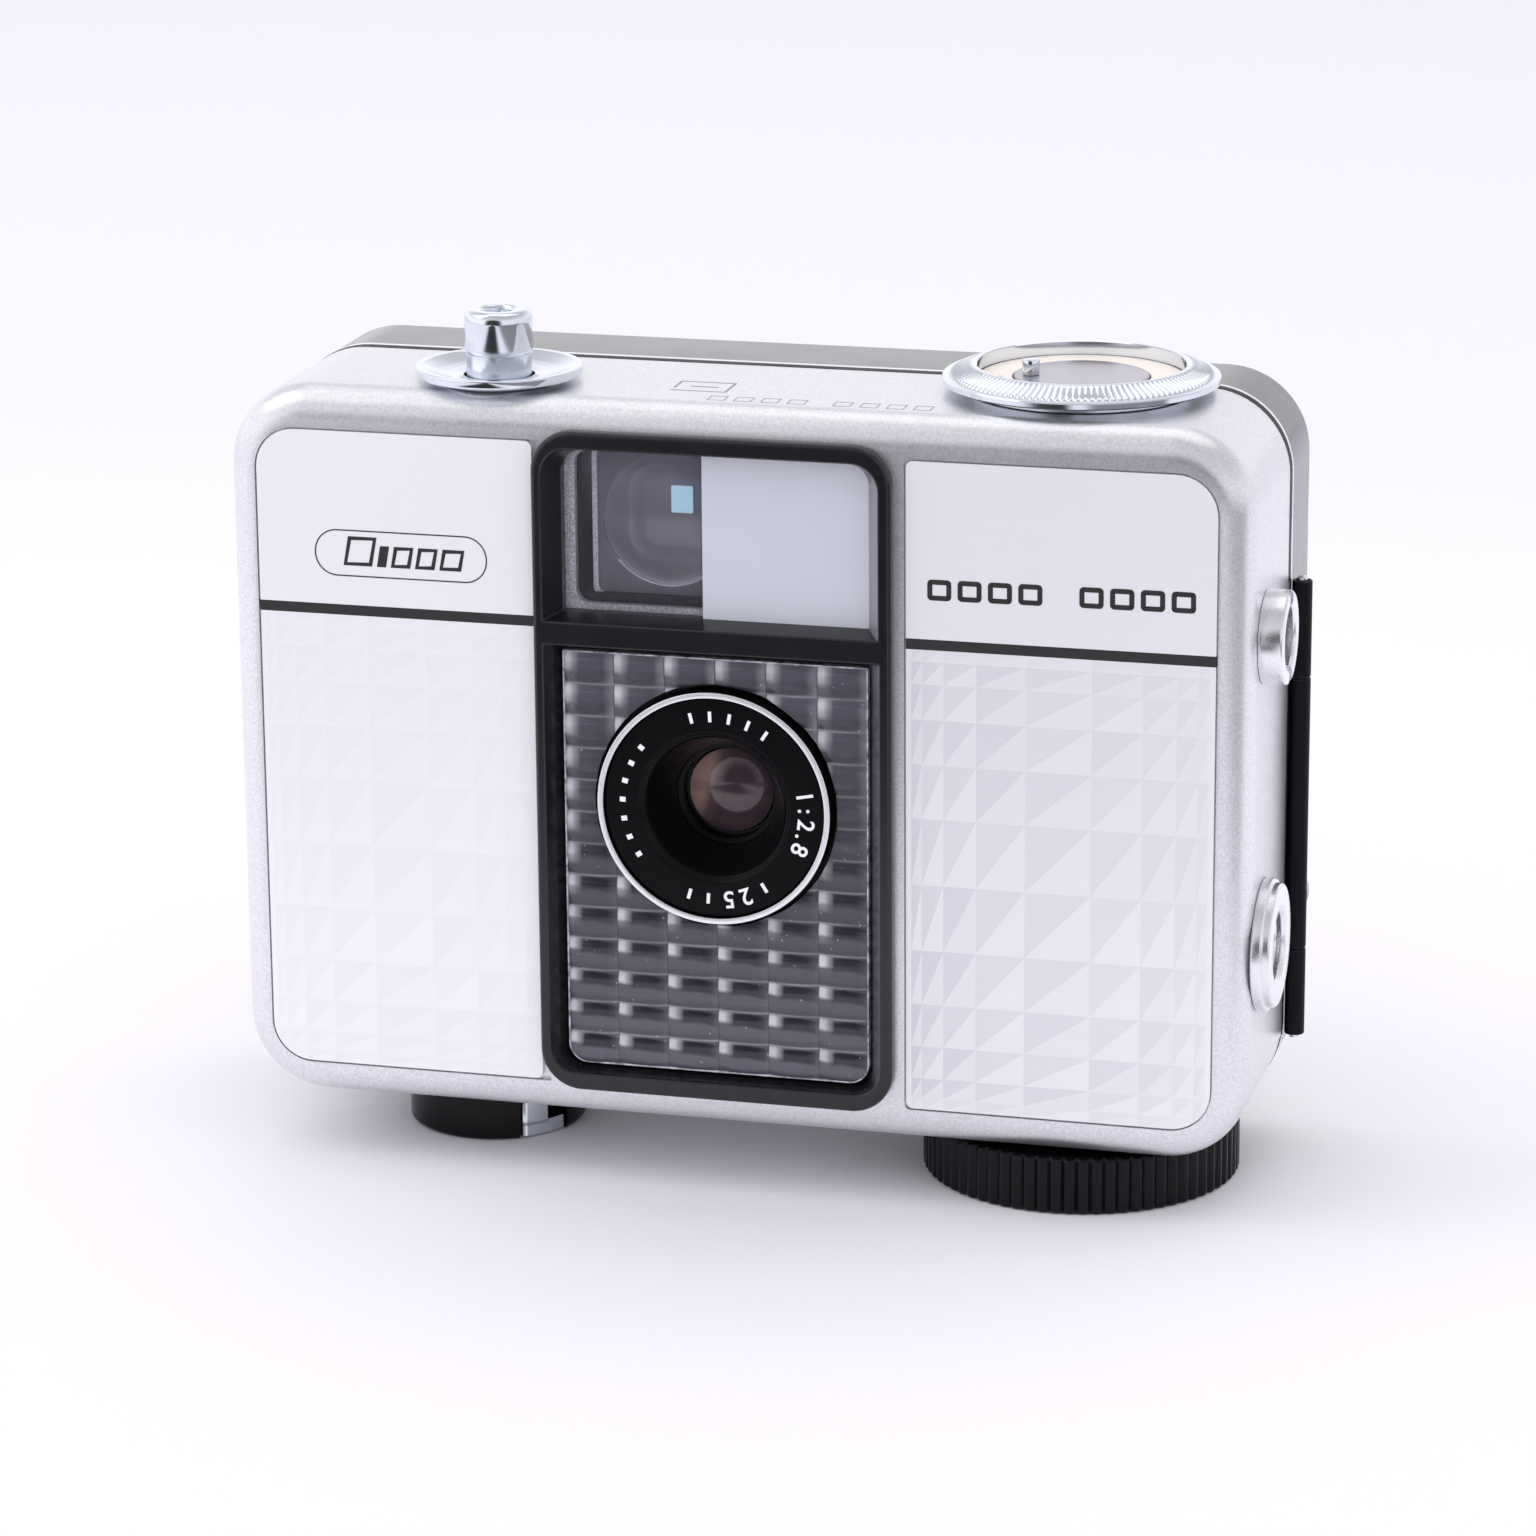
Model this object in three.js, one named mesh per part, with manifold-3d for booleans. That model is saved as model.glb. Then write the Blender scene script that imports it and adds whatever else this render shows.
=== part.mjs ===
// Half frame camera: a clockwork-driven compact for 35 mm film, as an assembly of its real pieces.
// Millimetres, +Z up, the front of the camera faces -Y, its left as the viewer sees it is -X.
// The pieces are modelled with X = 0 at the middle of the width, Y = 0 at the front plates
// and Z = 0 under the shell. The last lines move the whole camera onto its own origin.
import * as THREE from 'three';
import { mergeVertices } from 'three/addons/utils/BufferGeometryUtils.js';
import Module from 'manifold-3d';

const wasm = await Module();
wasm.setup();

// ---------------------------------------------------------------- driving dimensions
const BODY = { width: 87, height: 62, depth: 27.8, corner: 7, frontFillet: 2.85, backFillet: 1.5 };
const WALL = { front: 1.2, side: 1.2, door: 1.0 };
const SEAM = { y: 17.9, gap: 0.25 };
const KNOB_DROP = 5.25;
const BEZEL_PROUD = 1.1;
const EYEPIECE_PROUD = 1.6;
const SIDE_PROUD = 2.1;

const PLATE = { thickness: 0.5, bottom: 3.2, top: 58.5, outer: 40.66, gap: 0.15 };
const LEFT_PLATE_INNER = -16.65;
const RIGHT_PLATE_INNER = 15.0;

const FRAME = { left: -16.5, right: 14.0, bottom: 2.8, top: 59.7, corner: 3.5, back: 2.8 };
const FRAME_BEVEL = { size: 0.85, depth: 2.0 };
const FINDER_OPENING = { left: -14.55, right: 12.05, bottom: 44.05, top: 57.75 };
const GRID_OPENING = { left: -14.55, right: 12.05, bottom: 4.75, top: 41.1 };
const POCKET_MARGIN = 0.5;
const PANE_SPLIT = -2.45;
const PANE_FRONT = FRAME_BEVEL.depth - BEZEL_PROUD + 0.05;
const PANE_THICKNESS = 0.9;

const LENS = { x: -1.19, z: 28.33, ringRadius: 10.03, faceRadius: 9.5, front: -1.0 };
const GRID = { rows: 13, bump: 0.7, clearance: 10.4 };
const FACE_BACK = 5.2;
const GLASS_RADIUS = 3.7;
const CELL_BORE = 3.78;
const SHUTTER = { front: 9.0, back: 11.6, radius: 10.4, cavity: 9.6, aperture: 2.6, wall: 0.6, pin: 0.5 };
const BLADE = { radius: 3.1, pivot: 6.2, discOffset: 0.9, thickness: 0.25 };
const BLADE_ARM = { half: 1.1, boss: 1.3, bore: 0.62 };

const HALF = BODY.width / 2;
const TOP = BODY.height;
const BUTTON = { x: -21.5, y: 7.1, radius: 2.87, stem: 2.72, top: 68.0 };
const BUTTON_FLANGE = { bottom: 58.4, top: 59.2, radius: 3.3 };
const BUTTON_SPRING = { radius: 2.2, wire: 0.22, turns: 4, gap: 0.3, seat: 1.8 };
const DIAL = { x: 26.6, y: 13.65, radius: 11.55, rim: 8.6, disc: 5.6, underside: 62.77, top: 64.35 };
const SPEED_PIN = { x: -4.02, y: -1.07, radius: 0.72, height: 1.3 };

const WINDER = { x: 27.1, y: 13.6, radius: 13.55, arbor: 1.6, hub: 3.4, seat: -4.2 };
const REWIND = { x: -25.1, y: 13.9, radius: 7.7, crankTurn: -40 };
const CRANK = { pivot: -5.2, reach: 7.5, width: 4.2, slot: 4.8, axisDrop: 4.4, slotTop: 3.3 };
const KNOB_TOP = -0.35;

const PC_SOCKET = { y: 6.6, z: 43.9, radius: 3.9, bore: 2.6 };
const TRIPOD = { y: 7.0, z: 17.5, flange: 5.62, boss: 5.18, hole: 2.9, flangeHeight: 0.95, height: 1.55 };

const HINGE = {
  x: 44.4, y: 18.75, radius: 0.85, pin: 0.45, bottom: 6.0, lower: 13.7, upper: 37.3, top: 45.7,
};
const HINGE_LEAF = { inner: 42.4, outer: 43.5, front: 17.93, back: 18.12 };
const HINGE_TAB = { inner: 43.52, outer: 43.85, front: 18.5, back: 22.5 };
const LATCH = { z: 27.0, height: 7.0, front: 10.5, back: 16.5, neckFront: 12.3, neckBack: 14.7 };
const LATCH_GROOVES = { count: 4, pitch: 1.4, halfWidth: 0.3, depth: 0.4 };
const CATCH_LUG = { inset: 1.0, reach: 2.05, front: 18.6, back: 20.2, below: 2.7, gap: 0.4 };
const COVERING = { left: -38.5, right: 37.5, bottom: 4.5, top: 44.5, corner: 3, thickness: 0.4 };
const STUD = { left: 38.9, right: 43.8, bottom: 13.3, top: 17.7, corner: 2.1, proud: 1.5 };

const CARTRIDGE = { radius: 12.6, bottom: 4.6, top: 53.0 };
const GATE = { width: 17, height: 24 };
const RAIL = { seat: 24.4, face: 25.0, half: 0.6, left: 10.5, right: 8.4 };
const RAIL_OFFSETS = [-17.8, -12.6, 12.6, 17.8];
const PRESSER = { left: 10.8, right: 8.4, half: 16.5, front: 25.3, back: 25.9 };
const LEAF_SPRING = { half: 8, foot: 26.6, crown: 25.35, thickness: 0.15, halfHeight: 4 };
const CHASSIS = { left: -41.4, right: 41.4, bottom: 2.2, front: 3.0, step: 17.5, rear: 24.6 };
const CHASSIS_SHOULDER = 47.4;
const SPOOL = { core: 6.5, bore: 5.6, flange: 9.2, bottom: 9.5, top: 47.2 };
const SPOOL_WELL = { radius: 9.8, below: 0.9, above: 0.8 };
const SPROCKET = { x: 13.4, y: 20.36, radius: 4.54, teeth: 6, tooth: 0.85, rowOffset: 14.1 };
const SPROCKET_SHAFT = { radius: 1.4, waist: 3.6, bottom: 6, top: 46.8 };
const SPROCKET_WELL = { radius: 5.7, bottom: 11, top: 45.6 };
const TUNNEL = { left: -14.1, right: -2.3, bottom: 44.3, top: 58.6, front: 2.9, step: 16.8, back: 26.4 };
const TUNNEL_WALL = 0.8;
const FINDER_LENS = { front: 4.0, back: 6.6, wall: 0.85, bowl: 9, bowlCentre: 14.0 };
const EYEPIECE = { x: -8.2, z: 52.5, width: 10, height: 9 };
const EYEPIECE_HALF = { x: EYEPIECE.width / 2, z: EYEPIECE.height / 2 };
const COUNTER = { x: 6.0, y: 9.0, radius: 6.0, window: 2.0 };
const RELEASE = { x: 14.2, y: 5.6, radius: 1.3 };
const SCREWS = { y: 4.4, head: 1.7, shank: 0.8, x: [-9, -2] };
const METER = { x: 5.2, y: 11.0, radius: 5.5, bottom: 44.1, top: 56.0 };

const COARSE = 14;
const ROUND = 20;
const FINE = 30;

// ---------------------------------------------------------------- geometry helpers
function signedVolume(geometry) {
  const position = geometry.attributes.position;
  const index = geometry.index;
  const a = new THREE.Vector3();
  const b = new THREE.Vector3();
  const c = new THREE.Vector3();
  let volume = 0;
  for (let i = 0; i < index.count; i += 3) {
    a.fromBufferAttribute(position, index.getX(i));
    b.fromBufferAttribute(position, index.getX(i + 1));
    c.fromBufferAttribute(position, index.getX(i + 2));
    volume += a.dot(b.cross(c)) / 6;
  }
  return volume;
}

// Welds a three.js geometry into one closed mesh with its faces pointing out.
function welded(geometry) {
  geometry.deleteAttribute('normal');
  geometry.deleteAttribute('uv');
  geometry.clearGroups();
  const merged = mergeVertices(geometry, 1e-4);
  const source = merged.index.array;
  const kept = [];
  for (let i = 0; i < source.length; i += 3) {
    const [a, b, c] = [source[i], source[i + 1], source[i + 2]];
    if (a !== b && b !== c && a !== c) kept.push(a, b, c);
  }
  merged.setIndex(kept);
  if (signedVolume(merged) < 0) {
    for (let i = 0; i < kept.length; i += 3) [kept[i], kept[i + 1]] = [kept[i + 1], kept[i]];
    merged.setIndex(kept);
  }
  return merged;
}

function solid(geometry) {
  const mesh = welded(geometry);
  return new wasm.Manifold(new wasm.Mesh({
    numProp: 3,
    vertProperties: new Float32Array(mesh.attributes.position.array),
    triVerts: new Uint32Array(mesh.index.array),
  }));
}

function surface(manifold) {
  const mesh = manifold.getMesh();
  const geometry = new THREE.BufferGeometry();
  geometry.setAttribute('position', new THREE.BufferAttribute(new Float32Array(mesh.vertProperties), 3));
  geometry.setIndex(new THREE.BufferAttribute(new Uint32Array(mesh.triVerts), 1));
  return geometry;
}

function cut(geometry, ...tools) {
  let body = solid(geometry);
  for (const tool of tools) body = body.subtract(solid(tool));
  return surface(body);
}

function join(geometry, ...others) {
  let body = solid(geometry);
  for (const other of others) body = body.add(solid(other));
  return surface(body);
}

function keep(geometry, region) {
  return surface(solid(geometry).intersect(solid(region)));
}

function box(x0, x1, y0, y1, z0, z1) {
  const geometry = new THREE.BoxGeometry(x1 - x0, y1 - y0, z1 - z0);
  return geometry.translate((x0 + x1) / 2, (y0 + y1) / 2, (z0 + z1) / 2);
}

// Round bars along each axis: radius, both ends, then the place of the axis.
function barZ(radius, z0, z1, x, y, segments = COARSE) {
  const geometry = new THREE.CylinderGeometry(radius, radius, z1 - z0, segments);
  return geometry.rotateX(Math.PI / 2).translate(x, y, (z0 + z1) / 2);
}

function barY(radius, y0, y1, x, z, segments = COARSE) {
  const geometry = new THREE.CylinderGeometry(radius, radius, y1 - y0, segments);
  return geometry.translate(x, (y0 + y1) / 2, z);
}

function barX(radius, x0, x1, y, z, segments = COARSE) {
  const geometry = new THREE.CylinderGeometry(radius, radius, x1 - x0, segments);
  return geometry.rotateZ(Math.PI / 2).translate((x0 + x1) / 2, y, z);
}

// Turned pieces: a profile of [radius, station] pairs spun about the piece's own axis.
function turned(profile, segments) {
  const points = profile.map(([radius, station]) => new THREE.Vector2(radius, station));
  return new THREE.LatheGeometry(points, segments);
}

function turnedZ(profile, x, y, segments = FINE) {
  return turned(profile, segments).rotateX(Math.PI / 2).translate(x, y, 0);
}

function turnedY(profile, x, z, segments = FINE) {
  return turned(profile, segments).translate(x, 0, z);
}

function turnedX(profile, y, z, segments = FINE) {
  return turned(profile, segments).rotateZ(-Math.PI / 2).translate(0, y, z);
}

function ringProfile(inner, outer, start, end) {
  return [[inner, start], [outer, start], [outer, end], [inner, end], [inner, start]];
}

// A rounded rectangle in the XZ plane: left, right, bottom, top and corner radius.
function roundedRect(left, right, bottom, top, radius) {
  const shape = new THREE.Shape();
  shape.moveTo(left + radius, bottom);
  shape.lineTo(right - radius, bottom);
  shape.absarc(right - radius, bottom + radius, radius, -Math.PI / 2, 0, false);
  shape.lineTo(right, top - radius);
  shape.absarc(right - radius, top - radius, radius, 0, Math.PI / 2, false);
  shape.lineTo(left + radius, top);
  shape.absarc(left + radius, top - radius, radius, Math.PI / 2, Math.PI, false);
  shape.lineTo(left, bottom + radius);
  shape.absarc(left + radius, bottom + radius, radius, Math.PI, 1.5 * Math.PI, false);
  return shape;
}

// Extrudes an XZ outline from y0 to y1.
function slab(shape, y0, y1, curveSegments = 4) {
  const options = { depth: y1 - y0, bevelEnabled: false, curveSegments };
  return new THREE.ExtrudeGeometry(shape, options).rotateX(Math.PI / 2).translate(0, y1, 0);
}

// An XZ outline whose two ends are drawn in by a fillet or chamfer of the given size and depth.
function filletedSlab(shape, y0, y1, size, depth, steps, offset) {
  const options = {
    depth: y1 - y0 - 2 * depth,
    bevelThickness: depth,
    bevelSize: size,
    bevelOffset: offset,
    bevelSegments: steps,
    curveSegments: 4,
  };
  return new THREE.ExtrudeGeometry(shape, options).rotateX(Math.PI / 2).translate(0, y1 - depth, 0);
}

// Extrudes an XY outline from z0 to z1.
function prism(shape, z0, z1, curveSegments = 6) {
  const options = { depth: z1 - z0, bevelEnabled: false, curveSegments };
  return new THREE.ExtrudeGeometry(shape, options).translate(0, 0, z0);
}

// ---------------------------------------------------------------- materials and the scene
const camera = new THREE.Group();

const finishes = {
  satinShell: { color: 0xdcdce2, roughness: 0.38, metalness: 0.85 },
  brushedPlate: { color: 0xe6e4e6, roughness: 0.42, metalness: 0.7 },
  chrome: { color: 0xe4e8ee, roughness: 0.12, metalness: 1.0 },
  steel: { color: 0x9a9da3, roughness: 0.35, metalness: 0.9 },
  brass: { color: 0xb5954e, roughness: 0.35, metalness: 0.9 },
  glossBlack: { color: 0x0c0c0e, roughness: 0.15, metalness: 0.0 },
  satinBlack: { color: 0x1c1b1f, roughness: 0.45, metalness: 0.2 },
  leather: { color: 0x18171a, roughness: 0.7, metalness: 0.0 },
  clear: { color: 0xdfe6ea, roughness: 0.03, metalness: 0.0 },
  opal: { color: 0xc8cdd4, roughness: 0.35, metalness: 0.0 },
  selenium: { color: 0x2a2630, roughness: 0.35, metalness: 0.3 },
  coated: { color: 0x3a2a3c, roughness: 0.04, metalness: 0.0 },
  cream: { color: 0xefe2d4, roughness: 0.5, metalness: 0.0 },
  dialGrey: { color: 0xa8a3a8, roughness: 0.3, metalness: 0.6 },
};

function piece(name, geometry, finish) {
  const smooth = welded(geometry);
  smooth.computeVertexNormals();
  const mesh = new THREE.Mesh(smooth, new THREE.MeshStandardMaterial(finishes[finish]));
  mesh.name = name;
  camera.add(mesh);
  return mesh;
}

// ---------------------------------------------------------------- body shell
function bodyOutline(inset) {
  const radius = BODY.corner - inset;
  return roundedRect(-HALF + inset, HALF - inset, inset, BODY.height - inset, radius);
}

// The shallow seat of a face plate: rounded at its outer end, square at the end beside the frame.
function plateRecess(outer, inner) {
  const bottom = PLATE.bottom - PLATE.gap;
  const top = PLATE.top + PLATE.gap;
  const [left, right] = [Math.min(outer, inner), Math.max(outer, inner)];
  const square = inner + Math.sign(outer) * 8;
  return [
    slab(roundedRect(left, right, bottom, top, 3.6), -1, PLATE.thickness),
    box(Math.min(inner, square), Math.max(inner, square), -1, PLATE.thickness, bottom, top),
  ];
}

function frontShell() {
  const fillet = BODY.frontFillet;
  const full = filletedSlab(bodyOutline(0), 0, BODY.depth, fillet, fillet, 3, -fillet);
  const outer = keep(full, box(-50, 50, -1, SEAM.y, -1, 70));
  const cavity = slab(bodyOutline(WALL.side), WALL.front, BODY.depth);
  const seat = 0.4;
  const frameHole = roundedRect(FRAME.left + seat, FRAME.right - seat, FRAME.bottom + seat, FRAME.top - seat,
    FRAME.corner - seat);
  return cut(
    outer,
    cavity,
    ...plateRecess(-PLATE.outer - PLATE.gap, FRAME.left + seat),
    ...plateRecess(PLATE.outer + PLATE.gap, RIGHT_PLATE_INNER - PLATE.gap),
    slab(frameHole, -1, WALL.front + 1),
    barZ(3.6, 60, 63, BUTTON.x, BUTTON.y),
    barZ(3.1, 60, 63, DIAL.x, DIAL.y),
    barX(3.15, 42, 44, PC_SOCKET.y, PC_SOCKET.z),
    barX(4.7, 42, 44, TRIPOD.y, TRIPOD.z, FINE),
    barZ(2.0, -1, 2, WINDER.x, WINDER.y),
    barZ(1.9, -1, 2, REWIND.x, REWIND.y),
    barZ(COUNTER.window + 0.05, -1, 2, COUNTER.x + 3.4, COUNTER.y),
    barZ(RELEASE.radius + 0.15, -1, 2, RELEASE.x, RELEASE.y, 16),
    box(-HALF - 0.5, -HALF + 1.5, LATCH.neckFront - 0.2, LATCH.neckBack + 0.2, LATCH.z + 1.2, LATCH.z + 8.3),
    ...SCREWS.x.map(screwHole),
  );
}

// Countersunk holes for the two screws that hold the chassis down to the shell's floor.
function screwHole(x) {
  const profile = [[0, -0.1], [SCREWS.head + 0.1, -0.1], [SCREWS.head + 0.1, 0], [SCREWS.shank + 0.1, 0.95],
    [SCREWS.shank + 0.1, 1.6], [0, 1.6]];
  return turnedZ(profile, x, SCREWS.y, 16);
}

function chassisScrew(x) {
  const profile = [[0, 0.05], [SCREWS.head, 0.05], [SCREWS.shank, 0.95], [SCREWS.shank, 4.2], [0, 4.2]];
  const slot = box(x - 2, x + 2, SCREWS.y - 0.2, SCREWS.y + 0.2, -0.5, 0.45);
  return cut(turnedZ(profile, x, SCREWS.y, 16), slot);
}

// A face plate between its outer and inner edges, with nearly square corners beside the frame.
function facePlate(outer, inner) {
  const { bottom, top, thickness } = PLATE;
  const square = inner + Math.sign(outer) * 8;
  return join(
    slab(roundedRect(Math.min(outer, inner), Math.max(outer, inner), bottom, top, 3.4), 0, thickness),
    slab(roundedRect(Math.min(inner, square), Math.max(inner, square), bottom, top, 0.6), 0, thickness, 2),
  );
}

// ---------------------------------------------------------------- black window frame and its panes
function openingOutline(opening, margin, radius) {
  return roundedRect(opening.left - margin, opening.right + margin, opening.bottom - margin,
    opening.top + margin, radius);
}

function bevelledOpening(opening) {
  const outline = openingOutline(opening, 0, 0.5);
  const floor = FRAME_BEVEL.depth - BEZEL_PROUD;
  return filletedSlab(outline, -6, floor, FRAME_BEVEL.size, FRAME_BEVEL.depth, 1, 0);
}

function windowFrame() {
  const outline = (inset) => roundedRect(FRAME.left + inset, FRAME.right - inset, FRAME.bottom + inset,
    FRAME.top - inset, FRAME.corner - inset);
  const flange = slab(outline(0), -BEZEL_PROUD, 0);
  const body = slab(outline(0.5), -0.5, FRAME.back);
  const floor = FRAME_BEVEL.depth - BEZEL_PROUD;
  return cut(
    join(flange, body),
    bevelledOpening(FINDER_OPENING),
    bevelledOpening(GRID_OPENING),
    slab(openingOutline(FINDER_OPENING, POCKET_MARGIN, 0.5), floor, FRAME.back + 1),
    slab(openingOutline(GRID_OPENING, POCKET_MARGIN, 0.5), floor, FRAME.back + 1),
  );
}

function pane(left, right) {
  const bottom = FINDER_OPENING.bottom - POCKET_MARGIN + 0.1;
  const top = FINDER_OPENING.top + POCKET_MARGIN - 0.1;
  return slab(roundedRect(left, right, bottom, top, 0.4), PANE_FRONT, PANE_FRONT + PANE_THICKNESS, 2);
}

// The clear plastic in front of the light cell: rows of long cushions on a flat back plate.
function meterLensGrid() {
  const opening = GRID_OPENING;
  const pitch = (opening.top - opening.bottom) / GRID.rows;
  const profile = new THREE.Shape();
  const root = PANE_FRONT - 0.35;
  profile.moveTo(PANE_FRONT + 0.3, opening.bottom + 0.1);
  profile.lineTo(PANE_FRONT + 0.3, opening.top - 0.1);
  profile.lineTo(root, opening.top - 0.1);
  for (let row = GRID.rows - 1; row >= 0; row -= 1) {
    const middle = opening.bottom + (row + 0.5) * pitch;
    const low = Math.max(opening.bottom + row * pitch, opening.bottom + 0.1);
    profile.lineTo(root - 0.75 * GRID.bump, middle + 0.27 * pitch);
    profile.lineTo(root - GRID.bump, middle);
    profile.lineTo(root - 0.75 * GRID.bump, middle - 0.27 * pitch);
    profile.lineTo(root, low);
  }
  const field = prismX(profile, opening.left + 0.1, opening.right - 0.1);
  const back = slab(openingOutline(opening, POCKET_MARGIN - 0.1, 0.4), PANE_FRONT, PANE_FRONT + 0.6, 2);
  const lensHole = barY(GRID.clearance, -3, 4, LENS.x, LENS.z, ROUND);
  return cut(join(back, field), lensHole);
}

// Extrudes an outline drawn in the YZ plane from x0 to x1.
function prismX(shape, x0, x1) {
  const options = { depth: x1 - x0, bevelEnabled: false, curveSegments: 4 };
  const geometry = new THREE.ExtrudeGeometry(shape, options);
  const turn = new THREE.Matrix4();
  turn.makeBasis(new THREE.Vector3(0, 1, 0), new THREE.Vector3(0, 0, 1), new THREE.Vector3(1, 0, 0));
  return geometry.applyMatrix4(turn).translate(x0, 0, 0);
}

function seleniumCell() {
  const front = PANE_FRONT + 0.7;
  const sheet = slab(openingOutline(GRID_OPENING, POCKET_MARGIN - 0.15, 0.4), front, front + 0.7, 2);
  return cut(sheet, barY(GRID.clearance, 0, 4, LENS.x, LENS.z, ROUND));
}

// ---------------------------------------------------------------- lens and shutter
function lensFaceRing() {
  const profile = [[LENS.faceRadius - 0.05, LENS.front + 0.3], [LENS.faceRadius - 0.05, FACE_BACK],
    [3.9, FACE_BACK], [3.9, 4.3], [6.2, LENS.front + 0.3], [LENS.faceRadius - 0.05, LENS.front + 0.3]];
  return turnedY(profile, LENS.x, LENS.z);
}

function lensTrimRing() {
  return turnedY(ringProfile(LENS.faceRadius, LENS.ringRadius, LENS.front, FACE_BACK), LENS.x, LENS.z);
}

function frontLensCell() {
  const front = FACE_BACK + 0.05;
  const step = { radius: 5.6, y: 6.3 };
  const profile = [[CELL_BORE, front], [LENS.faceRadius, front], [LENS.faceRadius, step.y],
    [step.radius, step.y], [step.radius, SHUTTER.front], [CELL_BORE, SHUTTER.front], [CELL_BORE, front]];
  return turnedY(profile, LENS.x, LENS.z, ROUND);
}

// A lens disc: its two vertices and its rim run between the given stations.
function lensElement(frontVertex, rimFront, rimBack, backVertex) {
  const profile = [[0, frontVertex]];
  const steps = 3;
  for (let i = 1; i <= steps; i += 1) {
    const part = i / steps;
    profile.push([GLASS_RADIUS * part, frontVertex + (rimFront - frontVertex) * part * part]);
  }
  for (let i = steps; i >= 1; i -= 1) {
    const part = i / steps;
    profile.push([GLASS_RADIUS * part, backVertex + (rimBack - backVertex) * part * part]);
  }
  profile.push([0, backVertex]);
  return turnedY(profile, LENS.x, LENS.z, COARSE);
}

function shutterHousing() {
  const { front, back, radius, cavity, aperture, wall, pin } = SHUTTER;
  const profile = [[aperture, front], [radius, front], [radius, back], [aperture, back],
    [aperture, back - wall], [cavity, back - wall], [cavity, front + wall], [aperture, front + wall],
    [aperture, front]];
  const pins = [-1, 1].map((side) => {
    const x = LENS.x + side * BLADE.pivot;
    return barY(pin, front + wall / 2, back - wall / 2, x, LENS.z, 12);
  });
  return join(turnedY(profile, LENS.x, LENS.z, ROUND), ...pins);
}

// One shutter blade: a disc over the aperture on an arm from its pivot. side is -1 or 1.
function shutterBlade(side, front) {
  const back = front + BLADE.thickness;
  const pivotX = LENS.x + side * BLADE.pivot;
  const discX = LENS.x + side * BLADE.discOffset;
  const [left, right] = [Math.min(pivotX, discX), Math.max(pivotX, discX)];
  const blade = join(
    barY(BLADE.radius, front, back, discX, LENS.z),
    box(left, right, front, back, LENS.z - BLADE_ARM.half, LENS.z + BLADE_ARM.half),
    barY(BLADE_ARM.boss, front, back, pivotX, LENS.z, 16),
  );
  return cut(blade, barY(BLADE_ARM.bore, front - 1, back + 1, pivotX, LENS.z, 12));
}

function rearLensCell() {
  const outer = 5.2;
  const back = 15.2;
  return turnedY(ringProfile(CELL_BORE, outer, SHUTTER.back, back), LENS.x, LENS.z, ROUND);
}

// ---------------------------------------------------------------- viewfinder
function finderTunnel() {
  const { left, right, bottom, top, front, step, back } = TUNNEL;
  const wall = TUNNEL_WALL;
  const neck = (inset, y0, y1) => {
    const [halfX, halfZ] = [EYEPIECE_HALF.x - inset, EYEPIECE_HALF.z - inset];
    return box(EYEPIECE.x - halfX, EYEPIECE.x + halfX, y0, y1, EYEPIECE.z - halfZ, EYEPIECE.z + halfZ);
  };
  return cut(
    join(box(left, right, front, step, bottom, top), neck(0, step - 1, back)),
    box(left + wall, right - wall, front - 1, step - wall, bottom + wall, top - wall),
    neck(wall, step - 2, back + 1),
  );
}

// A rectangular diverging lens: flat in front, hollowed behind.
function finderFrontLens() {
  const { front, back, wall, bowl, bowlCentre } = FINDER_LENS;
  const { left, right, bottom, top } = TUNNEL;
  const block = box(left + wall, right - wall, front, back, bottom + wall, top - wall);
  const hollow = new THREE.SphereGeometry(bowl, 20, 14);
  hollow.translate((left + right) / 2, bowlCentre, (bottom + top) / 2);
  return cut(block, hollow);
}

function eyepieceFrame() {
  const rim = slab(eyepieceOutline(1.0, 1.2), BODY.depth, BODY.depth + EYEPIECE_PROUD, 3);
  const neck = slab(eyepieceOutline(-0.1, 0.4), BODY.depth - WALL.door, BODY.depth + 0.5, 2);
  const opening = slab(eyepieceOutline(-TUNNEL_WALL, 0.4), BODY.depth - 3, BODY.depth + 3, 2);
  return cut(join(rim, neck), opening);
}

function eyepieceLens() {
  return slab(eyepieceOutline(-TUNNEL_WALL - 0.05, 0.35), BODY.depth - 0.6, BODY.depth + 0.7, 2);
}

// The eyepiece's rectangle, grown by a margin on every side.
function eyepieceOutline(margin, radius) {
  const { x, z } = EYEPIECE;
  const [halfX, halfZ] = [EYEPIECE_HALF.x + margin, EYEPIECE_HALF.z + margin];
  return roundedRect(x - halfX, x + halfX, z - halfZ, z + halfZ, radius);
}

// ---------------------------------------------------------------- release button and dial on top
function shutterButton() {
  const { radius, stem, top } = BUTTON;
  const profile = [[0, BUTTON_FLANGE.bottom], [BUTTON_FLANGE.radius, BUTTON_FLANGE.bottom],
    [BUTTON_FLANGE.radius, BUTTON_FLANGE.top], [stem, BUTTON_FLANGE.top], [stem, 64.5], [radius, 64.6],
    [radius, top - 0.7], [radius - 0.25, top - 0.2], [radius - 0.7, top], [1.5, top], [1.3, top - 0.3],
    [1.3, top - 2.5], [0, top - 2.5]];
  return turnedZ(profile, BUTTON.x, BUTTON.y, ROUND);
}

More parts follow.
